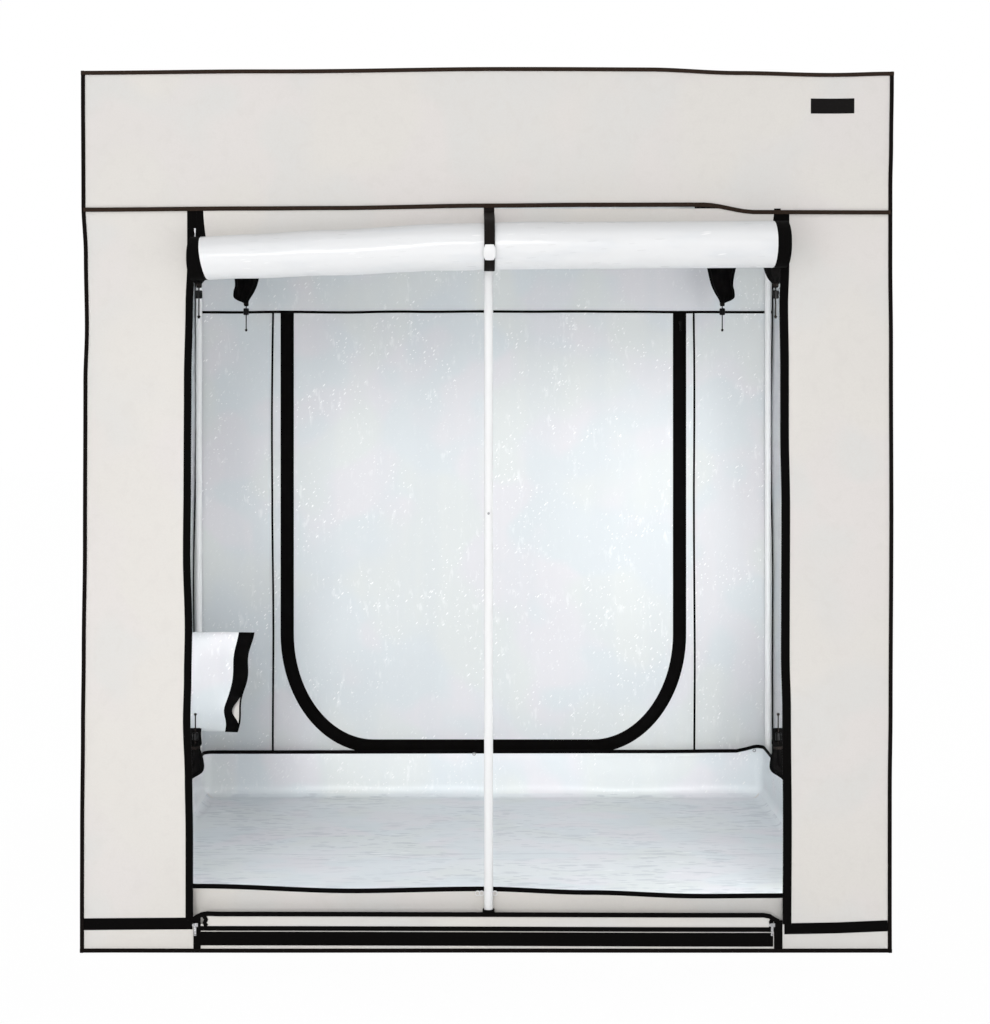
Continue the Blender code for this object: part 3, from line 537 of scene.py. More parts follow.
def cream_cloth():
    made = Finish("cream_cloth", (0.76, 0.73, 0.69), 0.82)
    place = made.place()
    mottle = made.grain(place, 3.0, 4.0, 0.6)
    crumple = made.grain(place, 26.0, 4.0, 0.6, 0.6)
    speck = made.grain(place, 240.0, 2.0)
    made.paint(
        tinted(made, place, (0.735, 0.722, 0.698), (0.762, 0.726, 0.702), (0.766, 0.738, 0.695)),
        (mottle.between(0.35, 0.68) * 0.5, (0.745, 0.715, 0.680)),
        (crumple.between(0.50, 0.68) * 0.22, (0.69, 0.66, 0.625)),
        (speck.between(0.35, 0.75) * 0.25, (0.70, 0.67, 0.635)),
    )
    made.feed("Roughness", 0.78 + mottle * 0.10)
    threads = weave(made, made.place("UV"), 0.0016)
    made.bump(threads * 0.00010 + made.grain(place, 9.0, 3.0) * 0.004 + crumple * 0.0009, 1.0, 0.5)
    return made.material


def silver_film(name="silver_film", lighter=1.0):
    """Bluish white film inside the tent: soft upright folds darkened by painted shade, faint tints, and
    painted glints on small creases.
    """

    def shade(*parts):
        return tuple(lighter * part for part in parts)

    made = Finish(name, shade(0.66, 0.685, 0.70), 0.34)
    place = made.place()
    swell = made.grain(place, 2.2, 3.0, 0.55)
    fold = made.grain(made.stretched(place, (1.0, 1.0, 0.10)), 8.0, 2.0)
    patch = made.grain(place, 6.5, 3.0).between(0.46, 0.60)
    speck = ovals(made, place, (0.3, 0.4, 0), 0.0085, 0.0055, 150)
    streak = ovals(made, place, (0.5, 0.60, 0.3), 0.050, 0.0042, 130)
    thread = ovals(made, place, (-0.5, 1.05, 0.2), 0.080, 0.0036, 90)
    haze = made.grain(made.stretched(place, (1.0, 1.0, 0.35)), 60.0, 3.0, 0.6).between(0.56, 0.72)
    # Painted highlights: specks, streaks, threads and haze drawn towards white in the base colour
    glint = (speck * 0.75).or_more(streak.or_more(thread).or_more(haze * 0.30)) * (0.15 + patch * 0.85)
    tints = shade(0.645, 0.680, 0.698), shade(0.690, 0.680, 0.703), shade(0.672, 0.693, 0.685)
    # Painted shade: the base colour darkens along the folds
    folded = fold.between(0.40, 0.62) * 0.30, shade(0.61, 0.645, 0.670)
    made.paint(tinted(made, place, *tints), folded, (glint * 0.85, (1.0, 1.0, 1.0)))
    made.feed("Roughness", 0.36 - glint * 0.2)
    height = swell * 0.005 + fold * 0.004 + glint * 0.0004 + made.grain(place, 30.0, 2.0) * 0.0003
    made.bump(height, 1.0, 0.6)
    return made.material


FLOOR_FOLD_Y = 0.06
DRIFT = 0.09


def floor_film():
    """The tray's floor: the same film, wrinkled from side to side, with one packing fold across it; painted
    shade darkens its wrinkles and fold, with painted highlights and painted sheen bands.
    """
    made = Finish("floor_film", (0.72, 0.75, 0.775), 0.45)
    place = made.place()
    wide = made.stretched(place, (0.30, 1.0, 1.0))
    patch = made.grain(place, 2.6, 2.0).between(0.38, 0.58)
    dash = ovals(made, place, (0, math.pi / 2, 0.08), 0.075, 0.022, 110)
    nick = ovals(made, place, (0, math.pi / 2, -0.10), 0.032, 0.014, 260)
    rumple = made.grain(wide, 42.0, 4.0, 0.6)
    # Painted shade: dark dashes, nicks and rumples where the wrinkles lie
    dark = dash.or_more(nick).or_more(rumple.between(0.54, 0.66)) * (0.25 + patch * 0.75)
    # Painted highlights: small pale ovals on the wrinkles
    bright = ovals(made, place, (0, math.pi / 2, 0.0), 0.040, 0.014, 30) * patch
    # Painted shade along the packing fold's crease
    along = made.apart(place)[1]
    drift = made.grain(place, 2.4, 1.0) * DRIFT
    crease = 1 - (along + drift - FLOOR_FOLD_Y - DRIFT / 2).size().between(0.002, 0.007)
    # Painted sheen: broad pale bands; the same noise gives the floor's soft swells in the bump
    broad = made.grain(wide, 5.0, 2.0)
    made.paint(
        tinted(made, place, (0.700, 0.740, 0.765), (0.738, 0.735, 0.765), (0.715, 0.745, 0.745)),
        (broad.between(0.40, 0.62) * 0.6, (0.750, 0.775, 0.800)),
        (dark * 0.46, (0.46, 0.49, 0.53)),
        (crease * 0.45, (0.50, 0.53, 0.57)),
        (bright * 0.5, (0.93, 0.94, 0.95)),
    )
    made.bump(rumple * 0.0022 - dark * 0.0008 + broad * 0.004 - crease * 0.0008, 1.0, 0.6)
    return made.material


def white_film():
    """The rolled door's glossy white inner face."""
    made = Finish("white_film", (0.81, 0.815, 0.82), 0.3, coat=0.2)
    place = made.place()
    along = made.stretched(place, (0.3, 1.0, 1.0))
    spark = ovals(made, place, (0, 1.50, 0), 0.030, 0.0040, 420)
    dash = ovals(made, place, (0, 1.35, 0), 0.060, 0.0050, 90)
    patch = made.grain(place, 6.0, 2.0).between(0.44, 0.56)
    shade = made.grain(along, 16.0, 3.0).between(0.50, 0.70)
    glint = spark.or_more(dash) * patch * 0.8
    made.paint((0.81, 0.815, 0.82), (shade * 0.35, (0.70, 0.73, 0.76)), (glint, (0.96, 0.96, 0.96)))
    made.feed("Roughness", 0.34 - spark * 0.1)
    made.bump(made.grain(along, 7.0, 3.0) * 0.006 + shade * 0.0016 + spark * 0.0004, 1.0, 0.6)
    return made.material


def black_tape(name="black_tape", color=(0.0020, 0.0017, 0.0016), pitch=0.0016, sheen=DULL):
    """Ribbed black tape, its ribs across its length."""
    made = Finish(name, color, 0.75)
    made.feed("Specular IOR Level", sheen)
    uv = made.place("UV")
    across, along, _ = made.apart(uv)
    ribs = (along * (math.tau / pitch)).sine()
    lint = made.grain(made.place(), 220.0, 2.0)
    lighter = tuple(2.2 * part for part in color)
    made.paint(color, (lint.between(0.5, 0.8) * 0.6, lighter))
    made.feed("Roughness", 0.68 + lint * 0.15)
    made.bump(ribs * 0.00010 + (across * (math.tau / (pitch * 1.5))).sine() * 0.00006, 1.0, 0.6)
    return made.material


def black_cloth():
    made = Finish("black_cloth", (0.0016, 0.0015, 0.0015), 0.85)
    made.feed("Specular IOR Level", DULL)
    place = made.place()
    wear = made.grain(place, 30.0, 4.0)
    made.paint((0.0013, 0.0012, 0.0012), (wear.between(0.4, 0.8), (0.0040, 0.0037, 0.0036)))
    made.feed("Roughness", 0.75 + wear * 0.2)
    threads = weave(made, made.place("UV"), 0.0014)
    made.bump(threads * 0.0001 + made.grain(place, 60.0, 3.0) * 0.0008, 1.0, 0.6)
    return made.material


def hard(name, color, tone, worn, rough, wear, skin, metallic=0.0, coat=0.0, sheen=0.5):
    """A hard surface with a fine skin, where wear shows in another colour.

    rough is the plain roughness, where it starts and what wear adds. wear is a noise's scale, detail and
    roughness, where it starts and ends, and its share. skin is a noise's scale, then the bump's height
    and strength; without a scale the wear is the skin too.
    """
    made = Finish(name, color, rough[0], metallic, coat)
    made.feed("Specular IOR Level", sheen)
    place = made.place()
    rub = made.grain(place, *wear[:3])
    fine = made.grain(place, skin[0], 2.0) if skin[0] else rub
    made.paint(tone, (rub.between(*wear[3:5]) * wear[5], worn))
    made.feed("Roughness", rough[1] + rub * rough[2])
    made.bump(fine * skin[1], 1.0, skin[2])
    return made.material


# Hard finishes: base colour, tone and worn colour, then how each wears
BLACKS = ((0.003, 0.003, 0.003), (0.0025, 0.0025, 0.0025), (0.009, 0.009, 0.009))
WHITES = ((0.86, 0.86, 0.86), (0.87, 0.87, 0.87), (0.72, 0.72, 0.71))
PALES = ((0.84, 0.84, 0.84), (0.86, 0.86, 0.86), (0.78, 0.78, 0.78))
METALS = ((0.36, 0.36, 0.37), (0.30, 0.30, 0.31), (0.62, 0.62, 0.63))
STEEL_WEAR = (14.0, 5.0, 0.7, 0.62, 0.80, 0.25)
PALE_WEAR = (500.0, 2.0, 0.5, 0.4, 0.8, 0.3)
METAL_WEAR = (260.0, 4.0, 0.5, 0.45, 0.75, 1.0)
BLACK_WEAR = (40.0, 4.0, 0.5, 0.55, 0.8, 1.0)


def moulded_black(name, roughness):
    rough = (roughness, roughness - 0.05, 0.14)
    return hard(name, *BLACKS, rough, BLACK_WEAR, (700.0, 0.00008, 0.5), sheen=0.08)


CREAM = cream_cloth()
SILVER = silver_film()
TRAY_FILM = silver_film("tray_film", 1.16)
FLOOR = floor_film()
WHITE = white_film()
TAPE = black_tape()
BOUND = black_tape("edge_tape", (0.0260, 0.0160, 0.0110), 0.0022, SOFT_SHEEN)
DARK_BOUND = black_tape("dark_edge_tape", (0.0060, 0.0045, 0.0040), 0.0022)
WEBBING = black_tape("webbing", (0.0080, 0.0060, 0.0050), 0.0026, SOFT_SHEEN)
BLACK = black_cloth()
STEEL = hard("white_coated_steel", *WHITES, (0.32, 0.28, 0.14), STEEL_WEAR, (420.0, 0.00012, 0.5), coat=0.2)
FITTING = moulded_black("fitting_plastic", 0.55)
LOCK = moulded_black("lock_plastic", 0.40)
SLIDER = hard("slider_metal", *METALS, (0.36, 0.30, 0.2), METAL_WEAR, (None, 0.0001, 0.4), 0.85)
PALE = hard("pale_plastic", *PALES, (0.38, 0.34, 0.1), PALE_WEAR, (None, 0.0001, 0.4), coat=0.15)
PATCH = black_tape("black_patch", (0.0060, 0.0052, 0.0050), 0.0009, SOFT_SHEEN)
COIL = moulded_black("zip_coil", 0.45)


# Camera, lamps and the floor


def make_camera():
    data = bpy.data.cameras.new("camera")
    camera = add_object("camera", data)
    camera.location = (CAMERA_X, FRONT - CAMERA_DISTANCE, (GROUND_ROW - SIGHT[1]) * PIXEL)
    camera.rotation_euler = (math.pi / 2, 0, 0)
    data.sensor_width = SENSOR
    data.lens = CAMERA_DISTANCE / PIXEL / PHOTO_LONG_SIDE * SENSOR
    data.shift_x = (PHOTO_CENTRE[0] - SIGHT[0]) / PHOTO_LONG_SIDE
    data.shift_y = (SIGHT[1] - PHOTO_CENTRE[1]) / PHOTO_LONG_SIDE
    data.clip_end = 100
    bpy.context.scene.camera = camera


def make_lamp(name, kind, source, power, **settings):
    """A lamp whose light comes from the given direction."""
    data = bpy.data.lights.new(name, kind)
    data.energy = power
    for key, value in settings.items():
        setattr(data, key, value)
    lamp = add_object(name, data)
    lamp.rotation_euler = (-Vector(source)).to_track_quat("-Z", "Y").to_euler()
    return lamp


def make_softbox(name, place, target, size, power):
    source = Vector(place) - Vector(target)
    lamp = make_lamp(name, "AREA", source, power, shape="RECTANGLE", size=size[0], size_y=size[1])
    lamp.location = place
    lamp.visible_camera = False


def see_white(tree, background, white, seen_share):
    """A factor that is one where the camera, or a reflection, looks straight at the backdrop."""
    path = tree.nodes.new("ShaderNodeLightPath")
    rays = tree.nodes.new("ShaderNodeMath")
    rays.operation = "ADD"
    rays.use_clamp = True
    tree.links.new(path.outputs["Is Camera Ray"], rays.inputs[0])
    tree.links.new(path.outputs["Is Glossy Ray"], rays.inputs[1])
    scaled = tree.nodes.new("ShaderNodeMath")
    scaled.operation = "MULTIPLY"
    scaled.inputs[1].default_value = seen_share
    tree.links.new(rays.outputs[0], scaled.inputs[0])
    mix = tree.nodes.new("ShaderNodeMixShader")
    tree.links.new(scaled.outputs[0], mix.inputs["Fac"])
    tree.links.new(background, mix.inputs[1])
    tree.links.new(white, mix.inputs[2])
    return mix.outputs[0]


def make_world():
    world = bpy.data.worlds.new("studio")
    bpy.context.scene.world = world
    world.use_nodes = True
    tree = world.node_tree
    room = tree.nodes["Background"]
    room.inputs["Color"].default_value = (0.97, 0.98, 1.0, 1.0)
    room.inputs["Strength"].default_value = WORLD_LIGHT
    white = tree.nodes.new("ShaderNodeBackground")
    white.inputs["Color"].default_value = (1.0, 1.0, 1.0, 1.0)
    mixed = see_white(tree, room.outputs[0], white.outputs[0], 1.0)
    tree.links.new(mixed, tree.nodes["World Output"].inputs["Surface"])


def make_floor():
    deselect()
    bpy.ops.mesh.primitive_plane_add(size=FLOOR_SIZE, location=(0, 0, -FLOOR_DROP))
    floor = bpy.context.object
    floor.name = "studio_floor"
    settle_place(floor)
    made = bpy.data.materials.new("studio_floor")
    made.use_nodes = True
    tree = made.node_tree
    plain = tree.nodes["Principled BSDF"]
    plain.inputs["Base Color"].default_value = (0.93, 0.93, 0.93, 1.0)
    plain.inputs["Roughness"].default_value = 0.9
    white = tree.nodes.new("ShaderNodeEmission")
    mixed = see_white(tree, plain.outputs[0], white.outputs[0], 0.97)
    tree.links.new(mixed, tree.nodes["Material Output"].inputs["Surface"])
    floor.data.materials.append(made)


WORLD_LIGHT = 0.39
FLOOR_SIZE = 60.0
FLOOR_DROP = 0.0005

make_camera()
make_world()
make_floor()
for name, source, strength, degrees in (
    ("key_lamp", (-0.05, -1.0, 0.135), 0.55, 12),
    ("top_lamp", (0.05, -0.75, 0.8), 0.50, 40),
    ("left_lamp", (-1.0, 0.5, 0.5), 1.45, 30),
    ("right_lamp", (1.0, 0.6, 0.5), 1.45, 30),
):
    make_lamp(name, "SUN", source, strength, angle=math.radians(degrees))
make_softbox("side_softbox", (-2.6, -5.2, 1.9), (0.2, -1.0, 1.1), (1.6, 1.6), 14)
make_softbox("front_softbox", (-0.5, -3.4, 0.75), (0.15, 1.0, 0.65), (2.2, 1.1), 9)
make_softbox("hidden_softbox_left", (-0.85, -0.90, 0.76), (-0.55, 1.0, 0.66), (0.16, 0.9), 5.6)
make_softbox("hidden_softbox_right", (0.85, -0.90, 0.76), (0.60, 1.0, 0.66), (0.16, 0.9), 9.2)
make_softbox("upper_softbox_left", (-0.85, -0.90, 1.45), (-0.55, 1.0, 1.2), (0.16, 0.5), 1.5)
make_softbox("upper_softbox_right", (0.85, -0.90, 1.45), (0.55, 1.0, 1.2), (0.16, 0.5), 4.0)


# Bound edges


BINDING_SECTION = rounded_section(BINDING, BINDING, 0.0024)
BINDING_STEPS = 120


def make_edge_bindings():
    """A folded tape along each of the twelve edges, waving with the cloth."""
    names = {-1: ("left", "front", "bottom"), 1: ("right", "rear", "top")}
    for axis in range(3):
        a, b = [i for i in range(3) if i != axis]
        for side_a in (-1, 1):
            for side_b in (-1, 1):
                start, end = Vector(), Vector()
                for i, side in ((a, side_a), (b, side_b)):
                    start[i] = end[i] = HIGH[i] - HALF if side > 0 else LOW[i] + HALF
                inset = 0.0 if axis < 2 else BINDING
                start[axis] = LOW[axis] + inset
                end[axis] = HIGH[axis] - inset
                side = Vector([float(i == a) for i in range(3)])
                up = Vector([float(i == b) for i in range(3)])
                rows = [(start.lerp(end, i / BINDING_STEPS), side, up) for i in range(BINDING_STEPS + 1)]
                name = f"binding_{names[side_b][b]}_{names[side_a][a]}"
                bar = loft_tube(name, rows, BINDING_SECTION, drape, end[axis] - start[axis])
                upper = axis < 2 and names[side_b][b] == "top"
                tape = BOUND if upper else DARK_BOUND
                finish_piece(bar, "tent", "binding", [tape], ["edge_binding"], 40)


make_edge_bindings()


# Outer cloth, lined with film


PANEL_STEP = 0.028
PANEL_FEWEST = 6
PANEL_SWELL = 0.55
SWELL_FADE = 0.15
FOLD_FADE = 0.05
U_KEEP = (0.03, 0.12)
AXIS_TURNS = {"x": (0, math.pi / 2, 0), "y": (math.pi / 2, 0, 0), "z": (0, 0, 0)}

# The header's folds: start and end as (x, z), half width and height
HEADER_FOLDS = (
    ((0.545, 2.06), (0.600, 1.88), 0.036, -0.0050), ((0.590, 2.00), (0.730, 1.85), 0.032, 0.0050),
    ((0.700, 2.02), (0.790, 1.87), 0.030, -0.0030), ((0.860, 1.87), (0.960, 2.09), 0.030, 0.0032),
    ((0.800, 1.86), (0.900, 2.03), 0.030, -0.0024), ((-0.930, 1.86), (-0.800, 2.05), 0.034, 0.0026),
    ((-0.300, 2.14), (-0.150, 1.90), 0.050, -0.0022), ((0.180, 2.12), (0.240, 1.90), 0.050, 0.0024),
)


def fold_lift(across, up):
    """The header's few soft folds: each a low rounded ridge or valley along its own line."""
    place = Vector((across, up))
    total = 0.0
    for start, end, width, height in HEADER_FOLDS:
        start, line = Vector(start), Vector(end) - Vector(start)
        share = max(0.0, min(1.0, (place - start).dot(line) / line.length_squared))
        distance = (place - start - line * share).length
        total += height * math.exp(-((distance / width) ** 2)) * (0.35 + 0.65 * math.sin(math.pi * share))
    return total


def lift_at(face, across, up):
    """How far a panel's soft swells stand off its flat face, nothing at its edges."""
    swell, seed, low, high = SWELLS[face]
    edge = min(across - low[0], high[0] - across, up - low[1], high[1] - up)
    lift = swell * smooth(edge / SWELL_FADE) * relief(across, up, PANEL_SWELL, seed)
    if face == "header":
        lift += smooth(edge / FOLD_FADE) * fold_lift(across, up)
    if face == "rear":
        lift *= smooth((u_distance(across, up) - U_KEEP[0]) / U_KEEP[1])
    return lift


def on_face(face, outward, axes):
    """Gives the form that lays a point of the flat face onto the hung cloth."""
    outward = Vector(outward)

    def form(point):
        return drape(point) + outward * lift_at(face, point[axes[0]], point[axes[1]])

    return form


def panel(name, face, corner, across, along, outward, node, cutters=(), keep=False):
    """A flat panel of the box as cloth: cream outside and film inside, with soft swells."""
    corner, across, along = (Vector(v) for v in (corner, across, along))
    width, length = across.length, along.length
    axes = [max(range(3), key=lambda i, v=v: abs(v[i])) for v in (across, along)]
    form = on_face(face, outward, axes)
    columns, rows = (max(PANEL_FEWEST, round(reach / PANEL_STEP)) for reach in (width, length))

    def place(u, v):
        return form(corner + across * u + along * v)

    obj = grid_sheet(name, columns, rows, place, (width, length), outward)
    thicken(obj, CLOTH, -1, 1)
    operation = "INTERSECT" if keep else "DIFFERENCE"
    for cutter in cutters:
        modify(obj, "BOOLEAN", operation=operation, solver="EXACT", object=cutter)
        bpy.data.objects.remove(cutter, do_unlink=True)
    return finish_piece(obj, "tent", "outer_cloth", [CREAM, SILVER], [node], 60)


def round_cutter(centre, axis, radius):
    deselect()
    bpy.ops.mesh.primitive_cylinder_add(
        vertices=64, radius=radius, depth=0.1, location=centre, rotation=AXIS_TURNS[axis]
    )
    return bpy.context.object


CEILING_PORTS = []
for name in ("front_left", "front_right", "rear_left", "rear_right"):
    low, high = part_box(f"ceiling_sleeve_{name}")
    CEILING_PORTS.append((name, ((low.x + high.x) / 2, (low.y + high.y) / 2)))
CEILING_PORT_R = 0.105
LOW_PORT = (-0.440, 0.360)
LOW_PORT_R = 0.100
FLAT_PORT = (0.200, 0.505)
FLAT_PORT_R = 0.100
FRONT_FOOT = 0.060

# Each face's swell: height, seed, and its low and high corners
SWELLS = {
    "roof": (0.005, 1.3, (LOW.x, LOW.y), (HIGH.x, HIGH.y)),
    "left": (0.004, 3.7, (LOW.y, 0.0), (HIGH.y, TOP)),
    "right": (0.004, 5.7, (LOW.y, 0.0), (HIGH.y, TOP)),
    "rear": (0.004, 8.2, (LOW.x, 0.0), (HIGH.x, TOP)),
    "ground": (0.0, 2.0, (LOW.x, LOW.y), (HIGH.x, HIGH.y)),
    "header": (0.005, 12.1, (LOW.x, SEAM_Z), (HIGH.x, TOP)),
    "front_left": (0.004, 15.0, (LOW.x, FRONT_FOOT), (-JAMB_X, SEAM_Z)),
    "front_right": (0.004, 17.0, (JAMB_X, FRONT_FOOT), (HIGH.x, SEAM_Z)),
}
WIDE = HIGH.x - LOW.x - BINDING
DEEP = REAR - FRONT - BINDING
PANEL_UNDER_TAPE = 0.008


def make_roof():
    cutters = [round_cutter((x, y, ROOF_FACE), "z", CEILING_PORT_R) for _, (x, y) in CEILING_PORTS]
    corner = (LOW.x + HALF, LOW.y + HALF, ROOF_FACE)
    roof = panel("roof_cloth", "roof", corner, (WIDE, 0, 0), (0, DEEP, 0), (0, 0, 1), "roof_panel", cutters)


def make_side_walls():
    low_port, flat_port = (LOW_PORT, LOW_PORT_R), (FLAT_PORT, FLAT_PORT_R)
    for side, sign, face_x, ports in (
        ("left", -1, LEFT_FACE, (low_port, flat_port)),
        ("right", 1, RIGHT_FACE, (low_port,)),
    ):
        cutters = [round_cutter((face_x, y, z), "x", radius) for (y, z), radius in ports]
        wall = panel(
            f"side_cloth_{side}", side, (face_x, LOW.y + HALF, HALF), (0, DEEP, 0), (0, 0, TOP - BINDING),
            (sign, 0, 0), f"wall_{side}", cutters,
        )


REAR_CURVE_X = 0.300
REAR_CURVE_Z = 0.3875
REAR_CURVE_STEPS = 24
U_STEP = 0.06
REAR_HALF = REAR_DOOR_HIGH.x
REAR_LOW = REAR_DOOR_LOW.z
REAR_TOP = REAR_DOOR_HIGH.z
DOOR_GAP = 0.0006
FLAP_GAP = 0.0004


def u_outline(grow, top):
    """The rear door's U as (x, z) from its top right corner round to its top left, grown outwards."""
    right = [(REAR_HALF + grow, top)]
    for i in range(REAR_CURVE_STEPS + 1):
        angle = math.pi / 2 * i / REAR_CURVE_STEPS
        x = REAR_HALF - REAR_CURVE_X + (REAR_CURVE_X + grow) * math.cos(angle)
        z = REAR_LOW + REAR_CURVE_Z - (REAR_CURVE_Z + grow) * math.sin(angle)
        right.append((x, z))
    return right + [(-x, z) for x, z in reversed(right)]


def resample(points, step):
    """The same line with a point about every step, its corners kept."""
    points = [Vector(point) for point in points]
    even = [points[0]]
    for start, end in zip(points, points[1:]):
        count = max(1, round((end - start).length / step))
        even += [start.lerp(end, i / count) for i in range(1, count + 1)]
    return even


U_POINTS = resample([(x, z, 0) for x, z in u_outline(0, REAR_TOP)], U_STEP)


def u_distance(x, z):
    place = Vector((x, z, 0))
    return min((place - point).length for point in U_POINTS)


def u_cutter(grow, top):
    """A solid through the rear wall with the door's U outline."""
    outline = u_outline(grow, top)
    curve = bpy.data.curves.new("u_cutter", "CURVE")
    curve.dimensions = "2D"
    curve.fill_mode = "BOTH"
    curve.extrude = 0.05
    spline = curve.splines.new("POLY")
    spline.points.add(len(outline) - 1)
    for point, (x, z) in zip(spline.points, outline):
        point.co = (x, z, 0, 1)
    spline.use_cyclic_u = True
    cutter = add_object("u_cutter", curve)
    cutter.location = (0, REAR_FACE, 0)
    cutter.rotation_euler = AXIS_TURNS["y"]
    activate(cutter)
    bpy.ops.object.convert(target="MESH")
    cutter = bpy.context.object
    weld(cutter)
    face_out(cutter)
    return cutter


def make_rear():
    """The rear wall, and the U-shaped door zipped into it."""
    corner = (HIGH.x - HALF, REAR_FACE, HALF)
    across = (-WIDE, 0, 0)
    along = (0, 0, TOP - BINDING)
    cutter = u_cutter(DOOR_GAP, REAR_TOP)
    wall = panel("rear_cloth", "rear", corner, across, along, (0, 1, 0), "wall_rear", [cutter])
    cutter = u_cutter(-FLAP_GAP, REAR_TOP - FLAP_GAP)
    door = panel("rear_door_cloth", "rear", corner, across, along, (0, 1, 0), "rear_door", [cutter], True)
    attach(door, "rear_door_flap")


def make_ground_sheet():
    corner = (LOW.x + HALF, LOW.y + HALF, 0.002)
    sheet = panel("ground_cloth", "ground", corner, (WIDE, 0, 0), (0, DEEP, 0), (0, 0, 1), "floor_panel")


def make_front():
    corner = (LOW.x + HALF, FRONT_FACE, SEAM_Z)
    tall = TOP - HALF - SEAM_Z
    header = panel("header_cloth", "header", corner, (WIDE, 0, 0), (0, 0, tall), (0, -1, 0), "front_header")
    edge = JAMB_X + PANEL_UNDER_TAPE
    for side, start, end in (("left", LOW.x + HALF, -edge), ("right", edge, HIGH.x - HALF)):
        size = (end - start, SEAM_Z - FRONT_FOOT)
        cloth = panel(
            f"front_cloth_{side}", f"front_{side}", (start, FRONT_FACE, FRONT_FOOT), (size[0], 0, 0),
            (0, 0, size[1]), (0, -1, 0), f"front_panel_{side}",
        )


PORT_RING_WIDTH = 0.016
PORT_RING_T = 0.0014
COLLAR_STEPS = 72
COLLAR_LIFT = 0.0001
COLLAR_LAP = 0.001


def make_port_rings():
    """The black collar sewn round each port, on the outside of the wall."""
    ports = [(name, "roof", (x, y), CEILING_PORT_R, ROOF_FACE, (0, 0, 1)) for name, (x, y) in CEILING_PORTS]
    ports += [
        ("low_left", "left", LOW_PORT, LOW_PORT_R, LEFT_FACE, (-1, 0, 0)),
        ("low_right", "right", LOW_PORT, LOW_PORT_R, RIGHT_FACE, (1, 0, 0)),
        ("flat", "left", FLAT_PORT, FLAT_PORT_R, LEFT_FACE, (-1, 0, 0)),
    ]
    for name, face, centre, radius, depth, outward in ports:
        a, b = [i for i in range(3) if not outward[i]]
        up = Vector(outward)
        middle = up * abs(depth) + up * (PORT_RING_T / 2 + COLLAR_LIFT)
        middle[a], middle[b] = centre
        reach = radius + PORT_RING_WIDTH / 2 - COLLAR_LAP
        rows = []
        for i in range(COLLAR_STEPS + 1):
            angle = math.tau * i / COLLAR_STEPS
            spoke = Vector()
            spoke[a], spoke[b] = math.cos(angle), math.sin(angle)
            rows.append((middle + spoke * reach, spoke * PORT_RING_WIDTH, up))
        profile = flat_section(1.0, PORT_RING_T)
        form = on_face(face, outward, (a, b))
        collar = loft_tube(f"port_ring_{name}", rows, profile, form, math.tau * radius, True)
        finish_piece(collar, "tent", "black_sleeve", [TAPE], angle=50)


make_roof()
make_side_walls()
make_rear()
make_ground_sheet()
make_front()
make_port_rings()


# Tapes, seams and zips that lie on the cloth


def ribbon(name, points, width, thickness, outward, lift, form, step=0.02):
    """A flat tape laid along points on a flat face."""
    outward = Vector(outward)
    centres = resample(points, step)
    rows = [
        (centre + outward * lift, along.cross(outward).normalized() * width, outward)
        for centre, along in directions(centres)
    ]
    return loft_tube(name, rows, flat_section(1.0, thickness), form, line_length(centres))


TOOTH = (0.0016, 0.0012, 0.0010)
TOOTH_PITCH = 0.004


def teeth(name, points, outward, lift, form, nodes):
    """A row of zip teeth along a line."""
    deselect()
    bpy.ops.mesh.primitive_cube_add(size=1, scale=TOOTH)
    model = name_piece(bpy.context.object, name)
    settle_place(model)
    outward = Vector(outward)
    centres = resample(points, TOOTH_PITCH)
    work = bmesh.new()
    for centre, after in zip(centres, centres[1:]):
        along = (after - centre).normalized()
        turn = Matrix((along.cross(outward), along, outward)).transposed().to_4x4()
        copy = model.data.copy()
        copy.transform(Matrix.Translation(form(centre + outward * lift)) @ turn)
        work.from_mesh(copy)
        bpy.data.meshes.remove(copy)
    work.to_mesh(model.data)
    work.free()
    face_out(model)
    finish_piece(model, "tent", "zip_metal", [COIL], nodes)


FRONT_OUT = (0, -1, 0)
TAPE_T = 0.0012
TAPE_LIFT = TAPE_T / 2 + 0.0001


def front_line(points):
    return [(x, FRONT_FACE, z) for x, z in points]


def strip(name, points, width, lift=TAPE_LIFT):
    """A zip tape on the front, given as (x, z) points."""
    obj = ribbon(name, front_line(points), width, TAPE_T, FRONT_OUT, lift, drape)
    finish_piece(obj, "tent", "zip_tape", [TAPE], ["front_zip_tape"], 50)


JAMB_OUT_X = 0.7440
JAMB_IN_TOP = 0.7215
JAMB_IN_LOW = {"left": 0.7255, "right": 0.7225}
JAMB_FOOT = 0.070
JAMB_STEP_Z = 1.690
JAMB_LAP = 0.002
TEETH_FOOT = 0.095
TEETH_ABOVE_ROLL = 1.790
SEAM_HIDES = 0.004
SEAM_WIDTH = 0.0105
SEAM_T = 0.0016
SEAM_LIFT = 0.0040


def make_jambs():
    """The frame's half of each door zip: a tape that narrows below the roll, with its row of teeth."""
    top = SEAM_Z - SEAM_HIDES
    for side, sign in (("left", -1), ("right", 1)):
        inner = JAMB_IN_LOW[side]
        for part, low, high, edge in (
            ("upper", JAMB_STEP_Z, top, JAMB_IN_TOP),
            ("lower", JAMB_FOOT, JAMB_STEP_Z + JAMB_LAP, inner),
        ):
            middle = sign * (JAMB_OUT_X + edge) / 2
            strip(f"jamb_tape_{part}_{side}", [(middle, low), (middle, high)], JAMB_OUT_X - edge)
        for part, edge, low, high in (
            ("", inner, TEETH_FOOT, JAMB_STEP_Z),
            ("top_", JAMB_IN_TOP, TEETH_ABOVE_ROLL, top),
        ):
            line = front_line([(sign * edge, low), (sign * edge, high)])
            teeth(f"jamb_teeth_{part}{side}", line, FRONT_OUT, TAPE_LIFT, drape, ["front_zip_tape"])


